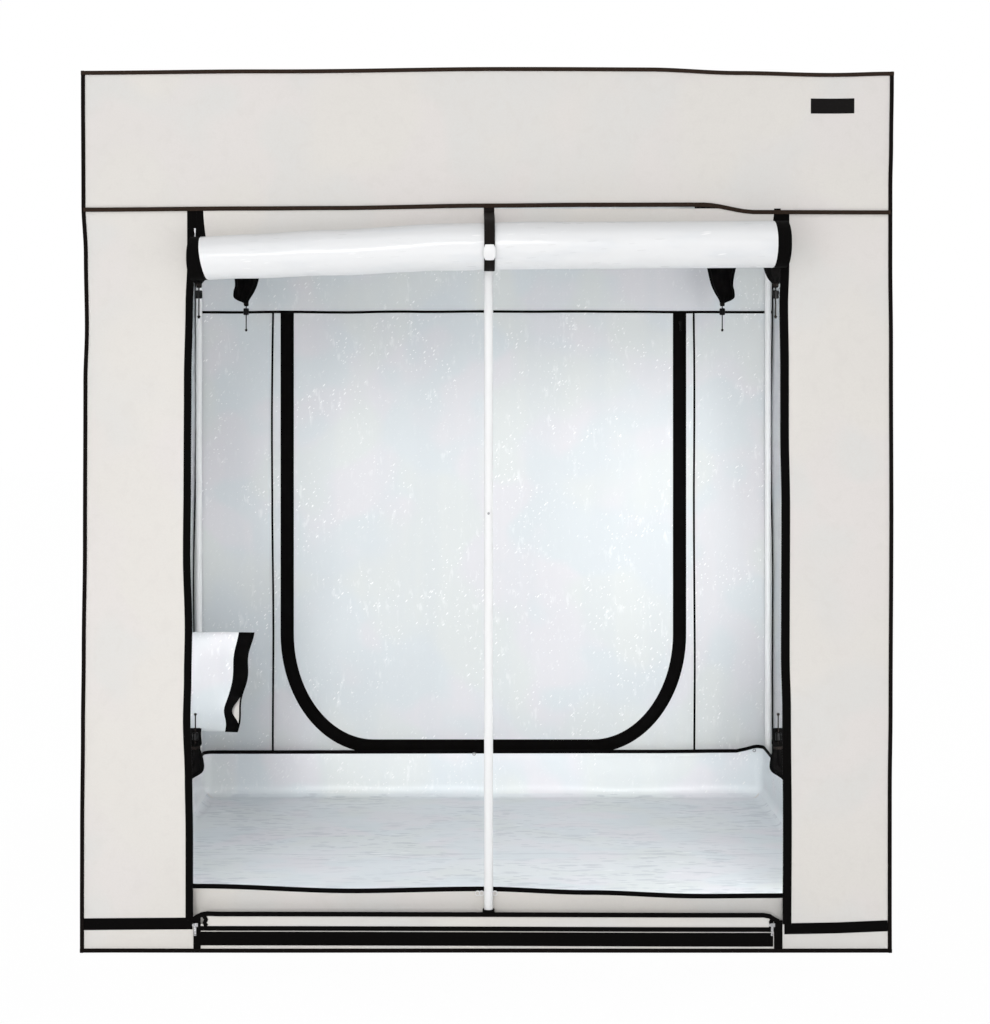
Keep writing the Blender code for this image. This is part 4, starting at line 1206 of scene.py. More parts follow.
def make_header_seam():
    """The bound seam along the header's lower edge."""
    points = front_line([(LOW.x + HALF, SEAM_Z), (HIGH.x - HALF, SEAM_Z)])
    seam = ribbon("header_seam", points, SEAM_WIDTH, SEAM_T, FRONT_OUT, SEAM_LIFT, drape)
    finish_piece(seam, "tent", "binding", [BOUND], ["front_header"], 50)


SILL_FOOT = 0.004
SILL_TOP = 0.070
SILL_CELLS = (72, 4)
FLAP_HALF = 0.699
FLAP_ROUND = 0.014
FLAP_TALL = 0.034
FLAP_TOP = 0.098
FLAP_LAP = 0.004
BAND_LIFT = TAPE_LIFT + 0.0003
PIPING_LEFT = ((-0.728, 0.078), (-0.716, 0.0885), (-0.703, 0.0945), (-0.690, 0.0965))
PIPING_RIGHT = ((0.690, 0.0900), (0.699, 0.0840), (0.712, 0.0770))
GARAGE = ((0.699, 0.0), (0.693, -0.010), (0.697, -0.018), (0.692, -0.026))


def sag(x):
    """The sill's tapes lie a little lower towards the right."""
    return -0.002 - 0.003 * smooth((x + 0.7) / 1.4)


def level_line(start, end, z, steps=12):
    xs = [start + (end - start) * i / steps for i in range(steps + 1)]
    return [(x, z + sag(x)) for x in xs]


def make_sill():
    """The low strip of the front: cream cloth, its weather flap, the zip and the hook band."""
    corner = Vector((LOW.x + HALF, FRONT_FACE, SILL_FOOT))
    size = (WIDE, SILL_TOP - SILL_FOOT)

    def sill_form(u, v):
        return drape(corner + Vector((u * size[0], 0, v * size[1])))

    sill = grid_sheet("sill_cloth", *SILL_CELLS, sill_form, size, FRONT_OUT)
    flap = grid_sheet("flap_cloth", *SILL_CELLS, flap_form, (2 * FLAP_HALF, FLAP_TALL), FRONT_OUT)
    sill = join([sill, flap], "sill_cloth")
    thicken(sill, CLOTH, -1, 1)
    finish_piece(sill, "tent", "outer_cloth", [CREAM, SILVER], ["front_sill"], 60)
    left, right = LOW.x + BINDING, HIGH.x - BINDING
    for name, points, width, lift in (
        ("hook_band", level_line(-0.707, 0.699, 0.037), 0.034, TAPE_LIFT),
        ("low_zip_tape", level_line(-0.712, 0.706, 0.062), 0.0115, TAPE_LIFT + 0.0002),
        ("low_zip_band_left", [(left, 0.0700), (-0.7265, 0.0720)], 0.029, TAPE_LIFT),
        ("low_zip_band_right", [(0.7265, 0.0590), (0.86, 0.0610), (right, 0.0660)], 0.027, TAPE_LIFT),
        ("band_end_left", [(-0.7155, 0.009), (-0.7155, 0.086)], 0.018, BAND_LIFT),
        ("band_end_right", [(0.7115, 0.007), (0.7115, 0.080)], 0.021, BAND_LIFT),
    ):
        strip(name, points, width, lift)
    points = front_line([*PIPING_LEFT, *level_line(-0.66, 0.675, 0.0975), *PIPING_RIGHT])
    piping = ribbon("flap_piping", points, 0.0115, 0.0030, FRONT_OUT, 0.0012, drape, 0.01)
    finish_piece(piping, "tent", "binding", [TAPE], ["front_sill"], 50)
    for side, sign, top in (("left", -1, 0.092), ("right", 1, 0.086)):
        fringe = front_line([(sign * x, top + drop) for x, drop in GARAGE])
        obj = ribbon(f"zip_garage_{side}", fringe, 0.010, TAPE_T, FRONT_OUT, 0.0022, drape, 0.004)
        finish_piece(obj, "tent", "zip_tape", [TAPE], ["front_zip_tape"], 50)


def flap_form(u, v):
    x = -FLAP_HALF + 2 * FLAP_HALF * u
    end = max(0.0, abs(x) - FLAP_HALF + FLAP_ROUND)
    top = FLAP_TOP + sag(x) - FLAP_ROUND + math.sqrt(max(0.0, FLAP_ROUND**2 - end**2))
    low = SILL_TOP - FLAP_LAP
    return drape(Vector((x, FRONT_FACE - 0.0001, low + (top - low) * v)))


rear_form = on_face("rear", (0, 1, 0), (0, 2))
REAR_IN = REAR_FACE - CLOTH
REAR_PIPING_X = 0.723
PIPING_STEPS = 60
TAPE_STEP = 0.02


def rear_tape(name, points, width, thickness, slot, node, step=0.03):
    line = [(x, REAR_IN, z) for x, z in points]
    obj = ribbon(name, line, width, thickness, (0, -1, 0), thickness / 2, rear_form, step)
    finish_piece(obj, "tent", slot, [TAPE], [node], 50)


def make_rear_tapes():
    """On the rear wall: the band over the U zip, the yoke seam and two piped seams, and the zip's teeth."""
    outline = u_outline(-0.0025, REAR_TOP)
    rear_tape("u_zip_band", outline, 0.0455, 0.0012, "zip_tape", "rear_zip_band", TAPE_STEP)
    shares = [i / PIPING_STEPS for i in range(PIPING_STEPS + 1)]
    xs = [LOW.x + BINDING + (WIDE - BINDING) * share for share in shares]
    seam = [(x, REAR_TOP + 0.002 * ripple(x, 0.18, 5.5)) for x in xs]
    rear_tape("rear_yoke_seam", seam, 0.0085, 0.0024, "binding", "wall_rear")
    zs = [REAR_TOP - (REAR_TOP - TRAY_HIGH.z + 0.01) * share for share in shares]
    for side, sign in (("left", -1), ("right", 1)):
        piping = [(sign * REAR_PIPING_X + 0.003 * ripple(z, 0.5, 7.7 * sign), z) for z in zs]
        rear_tape(f"rear_piping_{side}", piping, 0.0066, 0.0024, "binding", "wall_rear")
    line = resample([(x, z, 0) for x, z in u_outline(0.0, REAR_TOP)], TAPE_STEP)
    outside = [(point.x, REAR_FACE, point.y) for point in line]
    teeth("rear_teeth", outside, (0, 1, 0), 0.0006, rear_form, ["rear_zip_band"])


make_jambs()
make_header_seam()
make_sill()
make_rear_tapes()


# Rolled front door and its strap

ROLL_AXIS = (-1.073, 1.741)
ROLL_R = 0.063
ROLL_PITCH = 0.0065
ROLL_TURNS = 6.77
TURN_STEPS = 40
FALL_STEPS = 12
DOOR_PLANE = -0.9973
DOOR_TOP = 1.836
FACING_FROM = 1.80
DOOR_CLOTH = 0.002
ROLL_RISE = (
    (-0.742, -0.033), (-0.58, -0.027), (-0.39, -0.018), (-0.10, -0.004), (0.10, 0.0), (0.735, 0.003),
)
ROLL_SIZE = ((-0.742, 0.90), (-0.39, 0.955), (-0.05, 0.995), (0.30, 0.985), (0.735, 0.975))
NECK_ENDS = (-0.7205, 0.7205)
ROLL_ENDS = (-0.723, 0.724)
END_BULGE = (0.006, 0.004)
NECK_BANDS = (0.0165, 0.0165)
ROLL_BANDS = (0.032, 0.033)
BAND_COLUMNS = 3
FILM_COLUMNS = 66
DOOR_COLUMNS = 2 * BAND_COLUMNS + FILM_COLUMNS
DOOR_ROWS = FALL_STEPS + round(ROLL_TURNS * TURN_STEPS)
ROLL_LEAN = 0.008
FALL_REACH = 0.040
DENT = 0.0022
FINE_DENT = 0.0006
CREASE = 0.0008
STRAP_PINCH = 0.0016
PINCH_REACH = 0.022


def roll_dent(x, angle):
    """Soft dents and long creases in the wound cloth, always inwards."""
    a, b = math.cos(angle), math.sin(angle)
    broad = noise.noise(Vector((x * 2.6, a * 1.5, b * 1.5)))
    fine = noise.noise(Vector((x * 6.0, a * 5.0 + 7, b * 5.0)))
    crease = max(0.0, 1 - abs(noise.noise(Vector((x * 1.4, a * 3.0, b * 3.0 + 4)))) * 9)
    pinch = STRAP_PINCH * math.exp(-((x / PINCH_REACH) ** 2))
    return -DENT * (0.5 + 0.5 * broad) - FINE_DENT * (1 + fine) - CREASE * crease - pinch


def roll_point(x, turn):
    """A point of the wound cloth: out from the axis, less for each turn further in."""
    angle = -math.tau * turn
    size = through(ROLL_SIZE, x)
    radius = size * (ROLL_R - DOOR_CLOTH / 2 - ROLL_PITCH * turn)
    radius += roll_dent(x, angle) * max(0.3, 1 - turn / ROLL_TURNS)
    y = ROLL_AXIS[0] + radius * math.cos(angle)
    z = ROLL_AXIS[1] + through(ROLL_RISE, x) + radius * math.sin(angle)
    return Vector((x, y, z))


def door_point(u, v):
    """The door's cloth: falls from the header's seam, steps out past the zips and winds up."""
    row = round(v * DOOR_ROWS)
    column = round(u * DOOR_COLUMNS)
    hang = smooth(row / FALL_STEPS)
    turn = max(0, row - FALL_STEPS) / TURN_STEPS
    ends = [a + (b - a) * hang for a, b in zip(NECK_ENDS, ROLL_ENDS)]
    lean = ROLL_LEAN * hang * math.sin(-math.tau * turn)
    bulge = hang * max(0.0, -math.cos(math.tau * turn))
    ends = [ends[0] - END_BULGE[0] * bulge, ends[1] + END_BULGE[1] * bulge]
    bands = [a + (b - a) * hang for a, b in zip(NECK_BANDS, ROLL_BANDS)]
    left, right = ends[0] + bands[0] - lean, ends[1] - bands[1]
    if column <= BAND_COLUMNS:
        x = ends[0] + (left - ends[0]) * column / BAND_COLUMNS
    elif column >= BAND_COLUMNS + FILM_COLUMNS:
        x = right + (ends[1] - right) * (column - BAND_COLUMNS - FILM_COLUMNS) / BAND_COLUMNS
    else:
        x = left + (right - left) * (column - BAND_COLUMNS) / FILM_COLUMNS
    if row >= FALL_STEPS:
        return roll_point(x, turn)
    share = row / FALL_STEPS
    end = roll_point(x, 0.0)
    top = Vector((x, DOOR_PLANE, DOOR_TOP))
    reach = Vector((0, 0, FALL_REACH))
    controls = (top, top - reach, end + reach, end)
    weights = ((1 - share) ** 3, 3 * share * (1 - share) ** 2, 3 * share**2 * (1 - share), share**3)
    return sum((point * weight for point, weight in zip(controls, weights)), Vector())


def make_front_door():
    middle = [door_point(0.5, i / DOOR_ROWS) for i in range(DOOR_ROWS + 1)]
    size = (ROLL_ENDS[1] - ROLL_ENDS[0], line_length(middle))

    def facing(place):
        return Vector((0, 1, 0)) if place.z > FACING_FROM else Vector()

    door = grid_sheet("rolled_door", DOOR_COLUMNS, DOOR_ROWS, door_point, size, facing)
    add_slots(door, 4)
    for face in door.data.polygons:
        column = face.index % DOOR_COLUMNS
        face.material_index = 0 if BAND_COLUMNS <= column < BAND_COLUMNS + FILM_COLUMNS else 2
    thicken(door, DOOR_CLOTH, 0, 1)
    materials = [WHITE, CREAM, TAPE, TAPE]
    finish_piece(door, "front_door_bundle", "door_film", materials, ["front_door"], 60)


STRAP_WIDTH = 0.026
STRAP_T = 0.0015
STRAP_STEP = math.radians(7.5)
STRAP_X = 0.001
STRAP_LIFT = 0.0012
STRAP_FRONT = [(-0.9991, 1.838), (-0.9991, 1.826)]
STRAP_BACK = [(-0.9905, 1.790), (-0.9905, 1.8315)]


def tangent_angle(y, z, radius, side):
    """Where a straight run from a point meets the circle of this radius round the roll."""
    y -= ROLL_AXIS[0]
    z -= ROLL_AXIS[1]
    return math.atan2(z, y) + side * math.acos(radius / math.hypot(y, z))


def strap_line():
    """Down from the seam, over the front of the roll, under it and up behind the door."""
    radius = ROLL_R + STRAP_LIFT - STRAP_PINCH / 2
    leave = tangent_angle(*STRAP_FRONT[1], radius, 1)
    arrive = tangent_angle(*STRAP_BACK[0], radius, -1) + math.tau
    steps = math.ceil((arrive - leave) / STRAP_STEP)
    angles = [leave + (arrive - leave) * i / steps for i in range(steps + 1)]
    y, z = ROLL_AXIS
    return STRAP_FRONT + [(y + radius * math.cos(a), z + radius * math.sin(a)) for a in angles] + STRAP_BACK


def make_strap():
    line = [Vector((STRAP_X, y, z)) for y, z in strap_line()]
    side = Vector((1, 0, 0))
    rows = [(centre, side, along.cross(side)) for centre, along in directions(line)]
    strap = loft_tube("roll_strap", rows, flat_section(STRAP_WIDTH, STRAP_T, 0.3), None, line_length(line))
    finish_piece(strap, "front_door_bundle", "webbing", [WEBBING], ["door_strap"], 50)


BUCKLE_WIDTH = 0.030
BUCKLE_SPAN = (math.radians(183), math.radians(217))
BUCKLE_T = 0.004


def buckle_point(u, v):
    """The pale buckle's plate, eight-sided, bent round the roll in front of the strap."""
    a, b = 2 * u - 1, 2 * v - 1
    across = a * (1 - 0.30 * max(0.0, abs(b) - 0.45) / 0.55)
    angle = sum(BUCKLE_SPAN) / 2 + b * (BUCKLE_SPAN[1] - BUCKLE_SPAN[0]) / 2
    radius = ROLL_R + STRAP_LIFT + STRAP_T + BUCKLE_T - 0.0016 * abs(a) ** 3 - 0.001 * abs(b) ** 3
    y = ROLL_AXIS[0] + radius * math.cos(angle)
    z = ROLL_AXIS[1] + radius * math.sin(angle)
    return Vector((STRAP_X + across * BUCKLE_WIDTH / 2, y, z))


def make_buckle():
    buckle = grid_sheet("strap_buckle", 16, 16, buckle_point, (0.03, 0.037), FRONT_OUT)
    thicken(buckle, BUCKLE_T - STRAP_LIFT, -1)
    modify(buckle, "BEVEL", width=0.0008, segments=2, limit_method="ANGLE")
    finish_piece(buckle, "front_door_bundle", "door_film", [PALE], angle=50)


make_front_door()
make_strap()
make_buckle()


# Duct sleeves


def spread(rings, count):
    """Rings of (centre, radius, side, up, pleat) drawn smoothly through the few given ones."""
    last = len(rings) - 1

    def between(values, at):
        i = min(int(at), last - 1)
        t = at - i
        p0, p1, p2, p3 = (values[max(0, min(last, i + k))] for k in (-1, 0, 1, 2))
        square, cube = p0 * 2 - p1 * 5 + p2 * 4 - p3, p1 * 3 - p0 - p2 * 3 + p3
        return (p1 * 2 + (p2 - p0) * t + square * t**2 + cube * t**3) * 0.5

    return [[between(values, i * last / count) for values in zip(*rings)] for i in range(count + 1)]


def gathered_tube(name, rings, seed, size):
    """A cloth tube drawn in to a tied neck, its pleats growing towards the neck."""
    even = spread(rings, SLEEVE_ROWS)

    def form(u, v):
        centre, radius, side, up, pleat = even[round(v * SLEEVE_ROWS)]
        angle = math.tau * (round(u * SLEEVE_COLUMNS) % SLEEVE_COLUMNS) / SLEEVE_COLUMNS
        a, b = math.cos(angle), math.sin(angle)
        fold = pleat * math.cos(PLEATS * angle + 1.3 * math.sin(angle + seed))
        rough = 0.35 * pleat * noise.noise(Vector((3 * a, 3 * b, v * 4 + seed)))
        sway = 0.03 * noise.noise(Vector((a, b, v * 3 + 9 + seed)))
        reach = radius * (1 + fold + rough + sway * smooth(v * 4))
        return centre + side * (a * reach) + up * (b * reach)

    def facing(place):
        nearest = min((ring[0] for ring in even), key=lambda centre: (centre - place).length)
        return (place - nearest).normalized()

    tube = grid_sheet(name, SLEEVE_COLUMNS, SLEEVE_ROWS, form, size, facing, True)
    thicken(tube, SLEEVE_CLOTH)
    return tube


# A hanging sleeve's rings: depth, radius, lean and pleat, as shares of the whole
CEILING_DEPTH = 0.501
CEILING_RINGS = (
    (0.0, 1.0, 0.0, 0.0), (0.10, 0.97, 0.0, 0.0), (0.35, 0.84, 0.0, 0.03), (0.62, 0.58, -0.1, 0.05),
    (0.857, 0.350, -0.2, 0.06), (0.93, 0.305, 0.5, 0.06), (0.968, 0.25, 1.0, 0.08),
    (0.988, 0.17, 0.8, 0.12), (1.002, 0.085, 0.2, 0.18), (1.012, 0.050, 0.0, 0.18),
    (1.026, 0.056, 0.0, 0.22),
)
CEILING_NECK_R = 0.0068
CEILING_LEAN = {"front_left": -0.006, "front_right": 0.004, "rear_left": -0.012, "rear_right": 0.012}

# A low sleeve's rings: reach, rise, radius, tilt, pleat and how far back
LOW_REACH = 0.198
LOW_RINGS = (
    (0.0, 0.0, 1.0, 0.0, 0.0, 0.0), (0.30, -0.05, 0.95, -0.04, 0.0, 0.0),
    (0.58, -0.07, 0.70, 0.15, 0.04, 0.0), (0.82, -0.01, 0.40, 0.60, 0.09, 0.0),
    (0.95, 0.02, 0.32, 1.05, 0.13, 0.0), (0.995, 0.12, 0.20, 1.35, 0.17, 0.0),
    (1.0, 0.25, 0.115, math.pi / 2, 0.18, 0.0), (1.0, 0.30, 0.14, math.pi / 2, 0.20, 0.045),
    (0.99, 0.40, 0.125, math.pi / 2, 0.22, 0.105), (0.985, 0.50, 0.135, math.pi / 2, 0.24, 0.115),
)
CORD_LENGTH = 0.087
CORD_R = 0.0018
CORD_POINTS = 20
CORD_START = 0.003
KNOT_R = 0.0040
KNOT_LAP = 0.001
SLEEVE_COLUMNS = 96
SLEEVE_ROWS = 60
SLEEVE_CLOTH = 0.0008
SLEEVE_END = 0.018
LOW_SLEEVE_LENGTH = 0.30
LOW_NECK_RISE = 0.25
LOW_NECK_R = 0.0125
PLEATS = 8
TIE_TURNS = 3
TIE_STEPS = 20
TIE_HEIGHT = 0.008
TIE_T = 0.003
TIE_DROP = 0.006


def make_tie(name, neck, radius):
    """Turns of drawcord round the neck."""
    steps = TIE_TURNS * TIE_STEPS
    rows = []
    for i in range(steps + 1):
        angle = math.tau * i / TIE_STEPS
        rise = (i / steps - 0.5) * TIE_HEIGHT
        centre = Vector((radius * math.cos(angle), radius * math.sin(angle), rise)) + neck
        out = (centre - neck) * Vector((1, 1, 0))
        rows.append((centre, out.normalized(), Vector((0, 0, 1))))
    section = rounded_section(TIE_T, TIE_T, TIE_T / 2 - 0.00001, 2)
    tie = loft_tube(name, rows, section, None, TIE_TURNS * math.tau * radius)
    finish_piece(tie, "tent", "black_sleeve", [WEBBING], angle=80)


def make_cord(name, neck, down):
    """The drawcord's tail through its lock, with a knot at its end."""
    curve = bpy.data.curves.new(name, "CURVE")
    curve.dimensions = "3D"
    curve.bevel_depth = CORD_R
    curve.bevel_resolution = 3
    curve.use_fill_caps = True
    spline = curve.splines.new("POLY")
    start = neck + Vector((0, 0, -CORD_START * down))
    spline.points.add(CORD_POINTS - 1)
    for i, point in enumerate(spline.points):
        place = start + Vector((0, 0, -CORD_LENGTH * i / (CORD_POINTS - 1) * down))
        point.co = (*place, 1)
    cord = add_object(name, curve)
    finish_piece(cord, "tent", "black_sleeve", [WEBBING])
    knot = make_knot(f"{name}_knot", place + Vector((0, 0, -KNOT_LAP * down)))


def make_knot(name, place):
    deselect()
    bpy.ops.mesh.primitive_uv_sphere_add(segments=16, ring_count=10, radius=KNOT_R, location=place)
    knot = name_piece(bpy.context.object, name)
    settle_place(knot)
    for vertex in knot.data.vertices:
        offset = vertex.co - place
        twist = math.atan2(offset.y, offset.x) * 2 + offset.z * 900
        vertex.co = place + offset * (1 + 0.16 * math.sin(twist))
    return finish_piece(knot, "tent", "black_sleeve", [WEBBING], angle=80)


def make_ceiling_sleeves():
    for seed, (name, (x, y)) in enumerate(CEILING_PORTS):
        rings = []
        for depth, radius, lean, pleat in CEILING_RINGS:
            centre = Vector((x + lean * CEILING_LEAN[name], y, ROOF_FACE - depth * CEILING_DEPTH))
            rings.append((centre, radius * CEILING_PORT_R, Vector((1, 0, 0)), Vector((0, 1, 0)), pleat))
        size = (math.tau * CEILING_PORT_R, CEILING_DEPTH + SLEEVE_END)
        tube = gathered_tube(f"duct_sleeve_{name}", rings, seed, size)
        finish_piece(tube, "tent", "black_sleeve", [BLACK], [f"ceiling_sleeve_{name}"], 80)
        neck = Vector((x, y, ROOF_FACE - CEILING_DEPTH))
        make_tie(f"sleeve_tie_{name}", neck - Vector((0, 0, TIE_DROP)), CEILING_NECK_R)
        make_cord(f"drawcord_{name}", neck, 1)


def make_low_sleeves():
    for side, sign, face in (("left", -1, LEFT_FACE), ("right", 1, RIGHT_FACE)):
        port = Vector((face, *LOW_PORT))
        rings = []
        for reach, rise, radius, tilt, pleat, back in LOW_RINGS:
            centre = port + Vector((-sign * reach, back, rise)) * LOW_REACH
            up = Vector((sign * math.sin(tilt), 0, math.cos(tilt)))
            rings.append((centre, radius * LOW_PORT_R, Vector((0, 1 - 4 * back, 0)), up, pleat))
        size = (math.tau * LOW_PORT_R, LOW_SLEEVE_LENGTH)
        tube = gathered_tube(f"duct_sleeve_low_{side}", rings, 5 + sign, size)
        finish_piece(tube, "tent", "black_sleeve", [BLACK], [f"low_sleeve_{side}"], 80)
        neck = port + Vector((-sign * LOW_REACH, 0, LOW_NECK_RISE * LOW_REACH))
        make_tie(f"sleeve_tie_low_{side}", neck, LOW_NECK_R)
        make_cord(f"drawcord_low_{side}", neck, -1)


FLAT_LENGTH = 0.265
FLAT_SLANT = 0.024
FLAT_HALF = 0.152
FLAT_SLIT = 0.010
FLAT_SPREAD = ((0.0, 0.0), (0.19, 0.55), (0.40, 0.96), (0.70, 1.0), (1.0, 1.0))
FLAT_CLOSE = ((0.0, 0.0), (0.19, 0.33), (0.40, 0.77), (0.70, 0.93), (1.0, 1.0))
FLAT_GAPE = 0.024
GAPE_BACK = 0.010
HEM_WAVE = 0.004
FLAT_WAVE = 0.006
FLAT_DROP = 0.006
FLAT_COLUMNS = 96
FLAT_ROWS = 44
HEM_SHARE = 0.83
HEM_FOLD_SHARE = 0.955
FLAT_CLOTH = 0.0009


def flat_point(u, v):
    """The pale sleeve: round at its port, pressed flat at its hem, where it twists a little open."""
    angle = math.tau * (round(u * FLAT_COLUMNS) % FLAT_COLUMNS) / FLAT_COLUMNS
    half_y = FLAT_PORT_R + (FLAT_SLIT - FLAT_PORT_R) * through(FLAT_CLOSE, v)
    half_z = FLAT_PORT_R + (FLAT_HALF - FLAT_PORT_R) * through(FLAT_SPREAD, v)
    across, up = math.cos(angle), math.sin(angle)
    reach = v * (FLAT_LENGTH + FLAT_SLANT * up)
    gape = smooth((v - 0.72) / 0.28) * math.exp(-(((up + 0.56) / 0.20) ** 2)) * (1 if across < 0 else 0)
    reach += HEM_WAVE * smooth((v - 0.6) / 0.4) * math.sin(7.0 * up + 1.0) - FLAT_GAPE * gape
    wave = FLAT_WAVE * smooth(v) * math.sin(4.0 * up + 2.0 * v)
    y = FLAT_PORT[0] + across * half_y + wave - GAPE_BACK * gape
    return Vector((LEFT_FACE + reach, y, FLAT_PORT[1] + up * half_z - FLAT_DROP * v))


def make_flat_sleeve():
    size = (math.tau * FLAT_PORT_R, FLAT_LENGTH)

    def facing(place):
        return place - Vector((place.x, *FLAT_PORT))

    sleeve = grid_sheet("flat_duct_sleeve", FLAT_COLUMNS, FLAT_ROWS, flat_point, size, facing, True)
    add_slots(sleeve, 6)
    for face in sleeve.data.polygons:
        row = face.index // FLAT_COLUMNS
        face.material_index = 2 * ((row >= HEM_SHARE * FLAT_ROWS) + (row >= HEM_FOLD_SHARE * FLAT_ROWS))
    thicken(sleeve, FLAT_CLOTH, -1, 1)
    materials = [SILVER, CREAM, BLACK, CREAM, BLACK, BLACK]
    finish_piece(sleeve, "tent", "pale_sleeve", materials, ["flat_sleeve"], 70)


make_ceiling_sleeves()
make_low_sleeves()
make_flat_sleeve()


# Spill tray

TRAY_HALF = TRAY_HIGH.x
TRAY_ROUND = 0.030
TRAY_ROUND_STEPS = 6
TRAY_SIDE_COLUMNS = 64
TRAY_COVE = 0.034
TRAY_COVE_ROWS = 6
TRAY_ROWS = TRAY_COVE_ROWS + 8
TRAY_WAVE = 2.4
TRAY_LEAN = 0.012
TRAY_FOOT = TRAY_LOW.z + 0.0015
TRAY_CLOTH = 0.0012
FLOOR_CELLS = 84
FLOOR_SWELL = 0.003
FLOOR_FADE = 0.08
FLOOR_SPAN = TRAY_HALF - 0.002
WALL_INSET = 0.001
RIM_INSET = 0.0015
RIM_WIDTH = 0.012
RIM_T = 0.0042
RIM_Z = TRAY_HIGH.z - RIM_WIDTH / 2


def tray_rise(x, y):
    front = through(TRAY_FRONT_RISE, x)
    rear = through(TRAY_REAR_RISE, x)
    return front + (rear - front) * smooth((y + TRAY_HALF) / (2 * TRAY_HALF))


def tray_outline(inset=0.0):
    """The tray's outline from above, with rounded corners, from the front left corner round."""
    reach = TRAY_HALF - inset - TRAY_ROUND
    points = []
    for turn, (sign_x, sign_y) in enumerate(((1, 1), (-1, 1), (-1, -1), (1, -1))):
        for i in range(TRAY_ROUND_STEPS + 1):
            angle = math.pi / 2 * (turn + i / TRAY_ROUND_STEPS)
            x = sign_x * reach + TRAY_ROUND * math.cos(angle)
            y = sign_y * reach + TRAY_ROUND * math.sin(angle)
            points.append(Vector((x, y, 0)))
    points.append(points[0].copy())
    return resample(points, 2 * TRAY_HALF / TRAY_SIDE_COLUMNS)


def make_tray_walls():
    """Soft walls that curve up out of the floor and bow in a little."""
    outline = tray_outline(WALL_INSET)
    columns = len(outline) - 1

    def form(u, v):
        point = outline[round(u * columns) % columns]
        row = round(v * TRAY_ROWS)
        bend = TRAY_COVE * (1 + 0.7 * noise.noise(Vector((point.x * 3.1, point.y * 3.1, 4.0))))
        inward = Vector((-point.x if abs(point.x) > abs(point.y) - 0.001 else 0, 0, 0))
        inward.y = -point.y if abs(point.y) > abs(point.x) - 0.001 else 0
        inward.normalize()
        if row <= TRAY_COVE_ROWS:
            angle = math.pi / 2 * row / TRAY_COVE_ROWS
            rise = Vector((0, 0, TRAY_FOOT + bend * (1 - math.cos(angle))))
            return point + inward * bend * (1 - math.sin(angle)) + rise
        share = (row - TRAY_COVE_ROWS) / (TRAY_ROWS - TRAY_COVE_ROWS)
        wave = noise.noise(Vector((point.x * TRAY_WAVE, point.y * TRAY_WAVE, share)))
        lean = TRAY_LEAN * share * (1 - share) * (0.5 + wave)
        top = RIM_Z + tray_rise(point.x, point.y)
        low = TRAY_FOOT + bend
        return point + inward * lean + Vector((0, 0, low + (top - low) * share))

    size = (line_length(outline), RIM_Z)
    return grid_sheet("tray_walls", columns, TRAY_ROWS, form, size, lambda place: -place, True)


def floor_point(u, v):
    """The tray's floor, with soft swells and the corners of its walls."""
    x, y = FLOOR_SPAN * (2 * u - 1), FLOOR_SPAN * (2 * v - 1)
    edge = min(FLOOR_SPAN - abs(x), FLOOR_SPAN - abs(y))
    straight = FLOOR_SPAN - TRAY_ROUND
    over = Vector((abs(x) - straight, abs(y) - straight))
    if min(over) > 0 and over.length > TRAY_ROUND:
        over *= TRAY_ROUND / over.length
        x = math.copysign(straight + over.x, x)
        y = math.copysign(straight + over.y, y)
    swell = 0.5 + noise.noise(Vector((x * 1.6, y * 4.0, 2.2)))
    swell += 0.4 * noise.noise(Vector((x * 4, y * 11.0, 5.0)))
    return Vector((x, y, TRAY_FOOT + FLOOR_SWELL * max(0.0, swell) * smooth(edge / FLOOR_FADE)))


def make_tray():
    """The lined tray: a wrinkled floor and soft walls."""
    walls = make_tray_walls()
    size = (2 * FLOOR_SPAN, 2 * FLOOR_SPAN)
    floor = grid_sheet("tray_floor", FLOOR_CELLS, FLOOR_CELLS, floor_point, size, (0, 0, 1))
    tray = join([walls, floor], "tray_cloth")
    add_slots(tray, 4)
    for face in tray.data.polygons:
        face.material_index = 0 if abs(face.normal.z) > 0.7 else 1
    thicken(tray, TRAY_CLOTH, -1, 2)
    finish_piece(tray, "tent", "floor_film", [FLOOR, TRAY_FILM, CREAM, CREAM], ["floor_tray"], 60)


def make_tray_rim():
    line = [Vector((p.x, p.y, RIM_Z + tray_rise(p.x, p.y))) for p in tray_outline(RIM_INSET)]
    up = Vector((0, 0, 1))
    rows = [(centre, along.cross(up).normalized(), up) for centre, along in directions(line, True)]
    section = rounded_section(RIM_T, RIM_WIDTH, 0.0018)
    rim = loft_tube("tray_rim", rows, section, None, line_length(tray_outline(WALL_INSET)), True)
    finish_piece(rim, "tent", "binding", [TAPE], ["floor_tray"], 60)


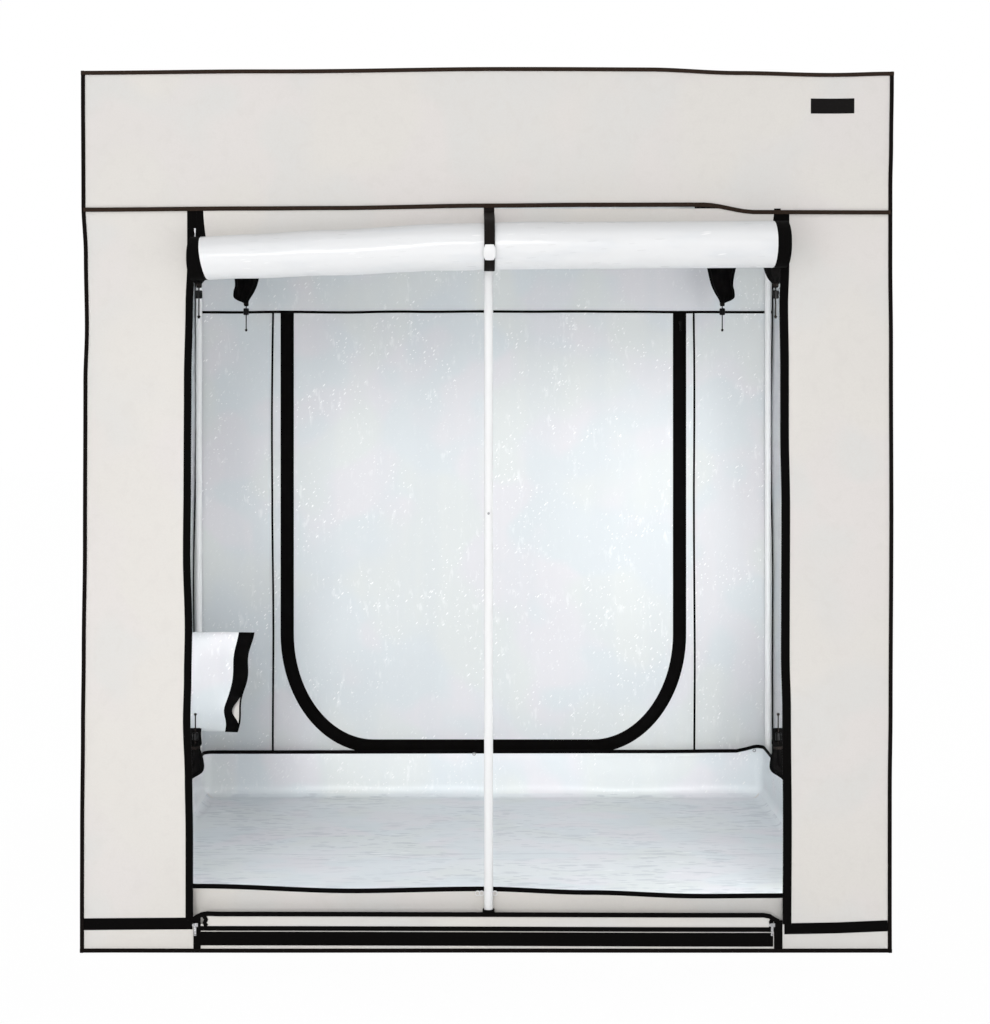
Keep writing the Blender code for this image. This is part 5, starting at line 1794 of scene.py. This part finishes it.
def ring(name, place, radius, thickness, material, slot):
    """A small round ring that faces the front."""
    deselect()
    bpy.ops.mesh.primitive_torus_add(
        location=place, rotation=AXIS_TURNS["y"], major_radius=radius, minor_radius=thickness,
        major_segments=28, minor_segments=10,
    )
    made = name_piece(bpy.context.object, name)
    settle_place(made)
    finish_piece(made, "tent", slot, [material], angle=80)


def make_eyelets():
    """Small eyelets in the tray's rear wall, and the white rings that tie the tray to the pole."""
    rear, front = TRAY_HIGH.y - 0.004, -TRAY_HALF - 0.0035
    for name, x, z in (("tray_eyelet_middle", -0.032, 0.148), ("tray_eyelet_right", 0.925, 0.160)):
        ring(name, (x, rear, z), 0.0045, 0.0012, SLIDER, "zip_metal")
    for name, x in (("tie_ring_left", -0.0270), ("tie_link", -0.0172), ("tie_ring_right", 0.0160)):
        ring(name, (x, front, 0.1374), 0.0056, 0.0013, PALE, "door_film")


make_tray()
make_tray_rim()
make_eyelets()


# Bare patch on the header

PATCH_LOW = Vector((0.797, 2.076))
PATCH_HIGH = Vector((0.903, 2.115))
PATCH_LIFT = 0.0009
PATCH_T = 0.0008


def make_patch():
    """A black woven patch, sewn flat on the header."""
    size = PATCH_HIGH - PATCH_LOW
    on_header = on_face("header", FRONT_OUT, (0, 2))

    def form(u, v):
        x, z = PATCH_LOW.x + size.x * u, PATCH_LOW.y + size.y * v
        return on_header(Vector((x, FRONT_FACE, z))) - Vector((0, PATCH_LIFT, 0))

    patch = grid_sheet("header_patch", 20, 8, form, size, FRONT_OUT)
    thicken(patch, PATCH_T)
    modify(patch, "BEVEL", width=0.0003, segments=2, limit_method="ANGLE")
    finish_piece(patch, "tent", "binding", [PATCH], angle=60)


make_patch()


# CAD pieces that keep their shape get their finish


def dress_nodes():
    """Puts each rigid CAD piece's finish in its one slot; the rear slider is black."""
    finishes = {
        "tube": STEEL, "fitting": FITTING, "cord_lock": LOCK, "zip_metal": SLIDER, "button_steel": SLIDER,
    }
    for part in frame["record"]["subparts"]:
        finish = finishes.get(part["material_slot"])
        if finish:
            node = frame["nodes"][part["node"]]
            node.data.materials.clear()
            node.data.materials.append(finish)
    frame["nodes"]["zip_slider_rear"].data.materials[0] = COIL


dress_nodes()

deselect()
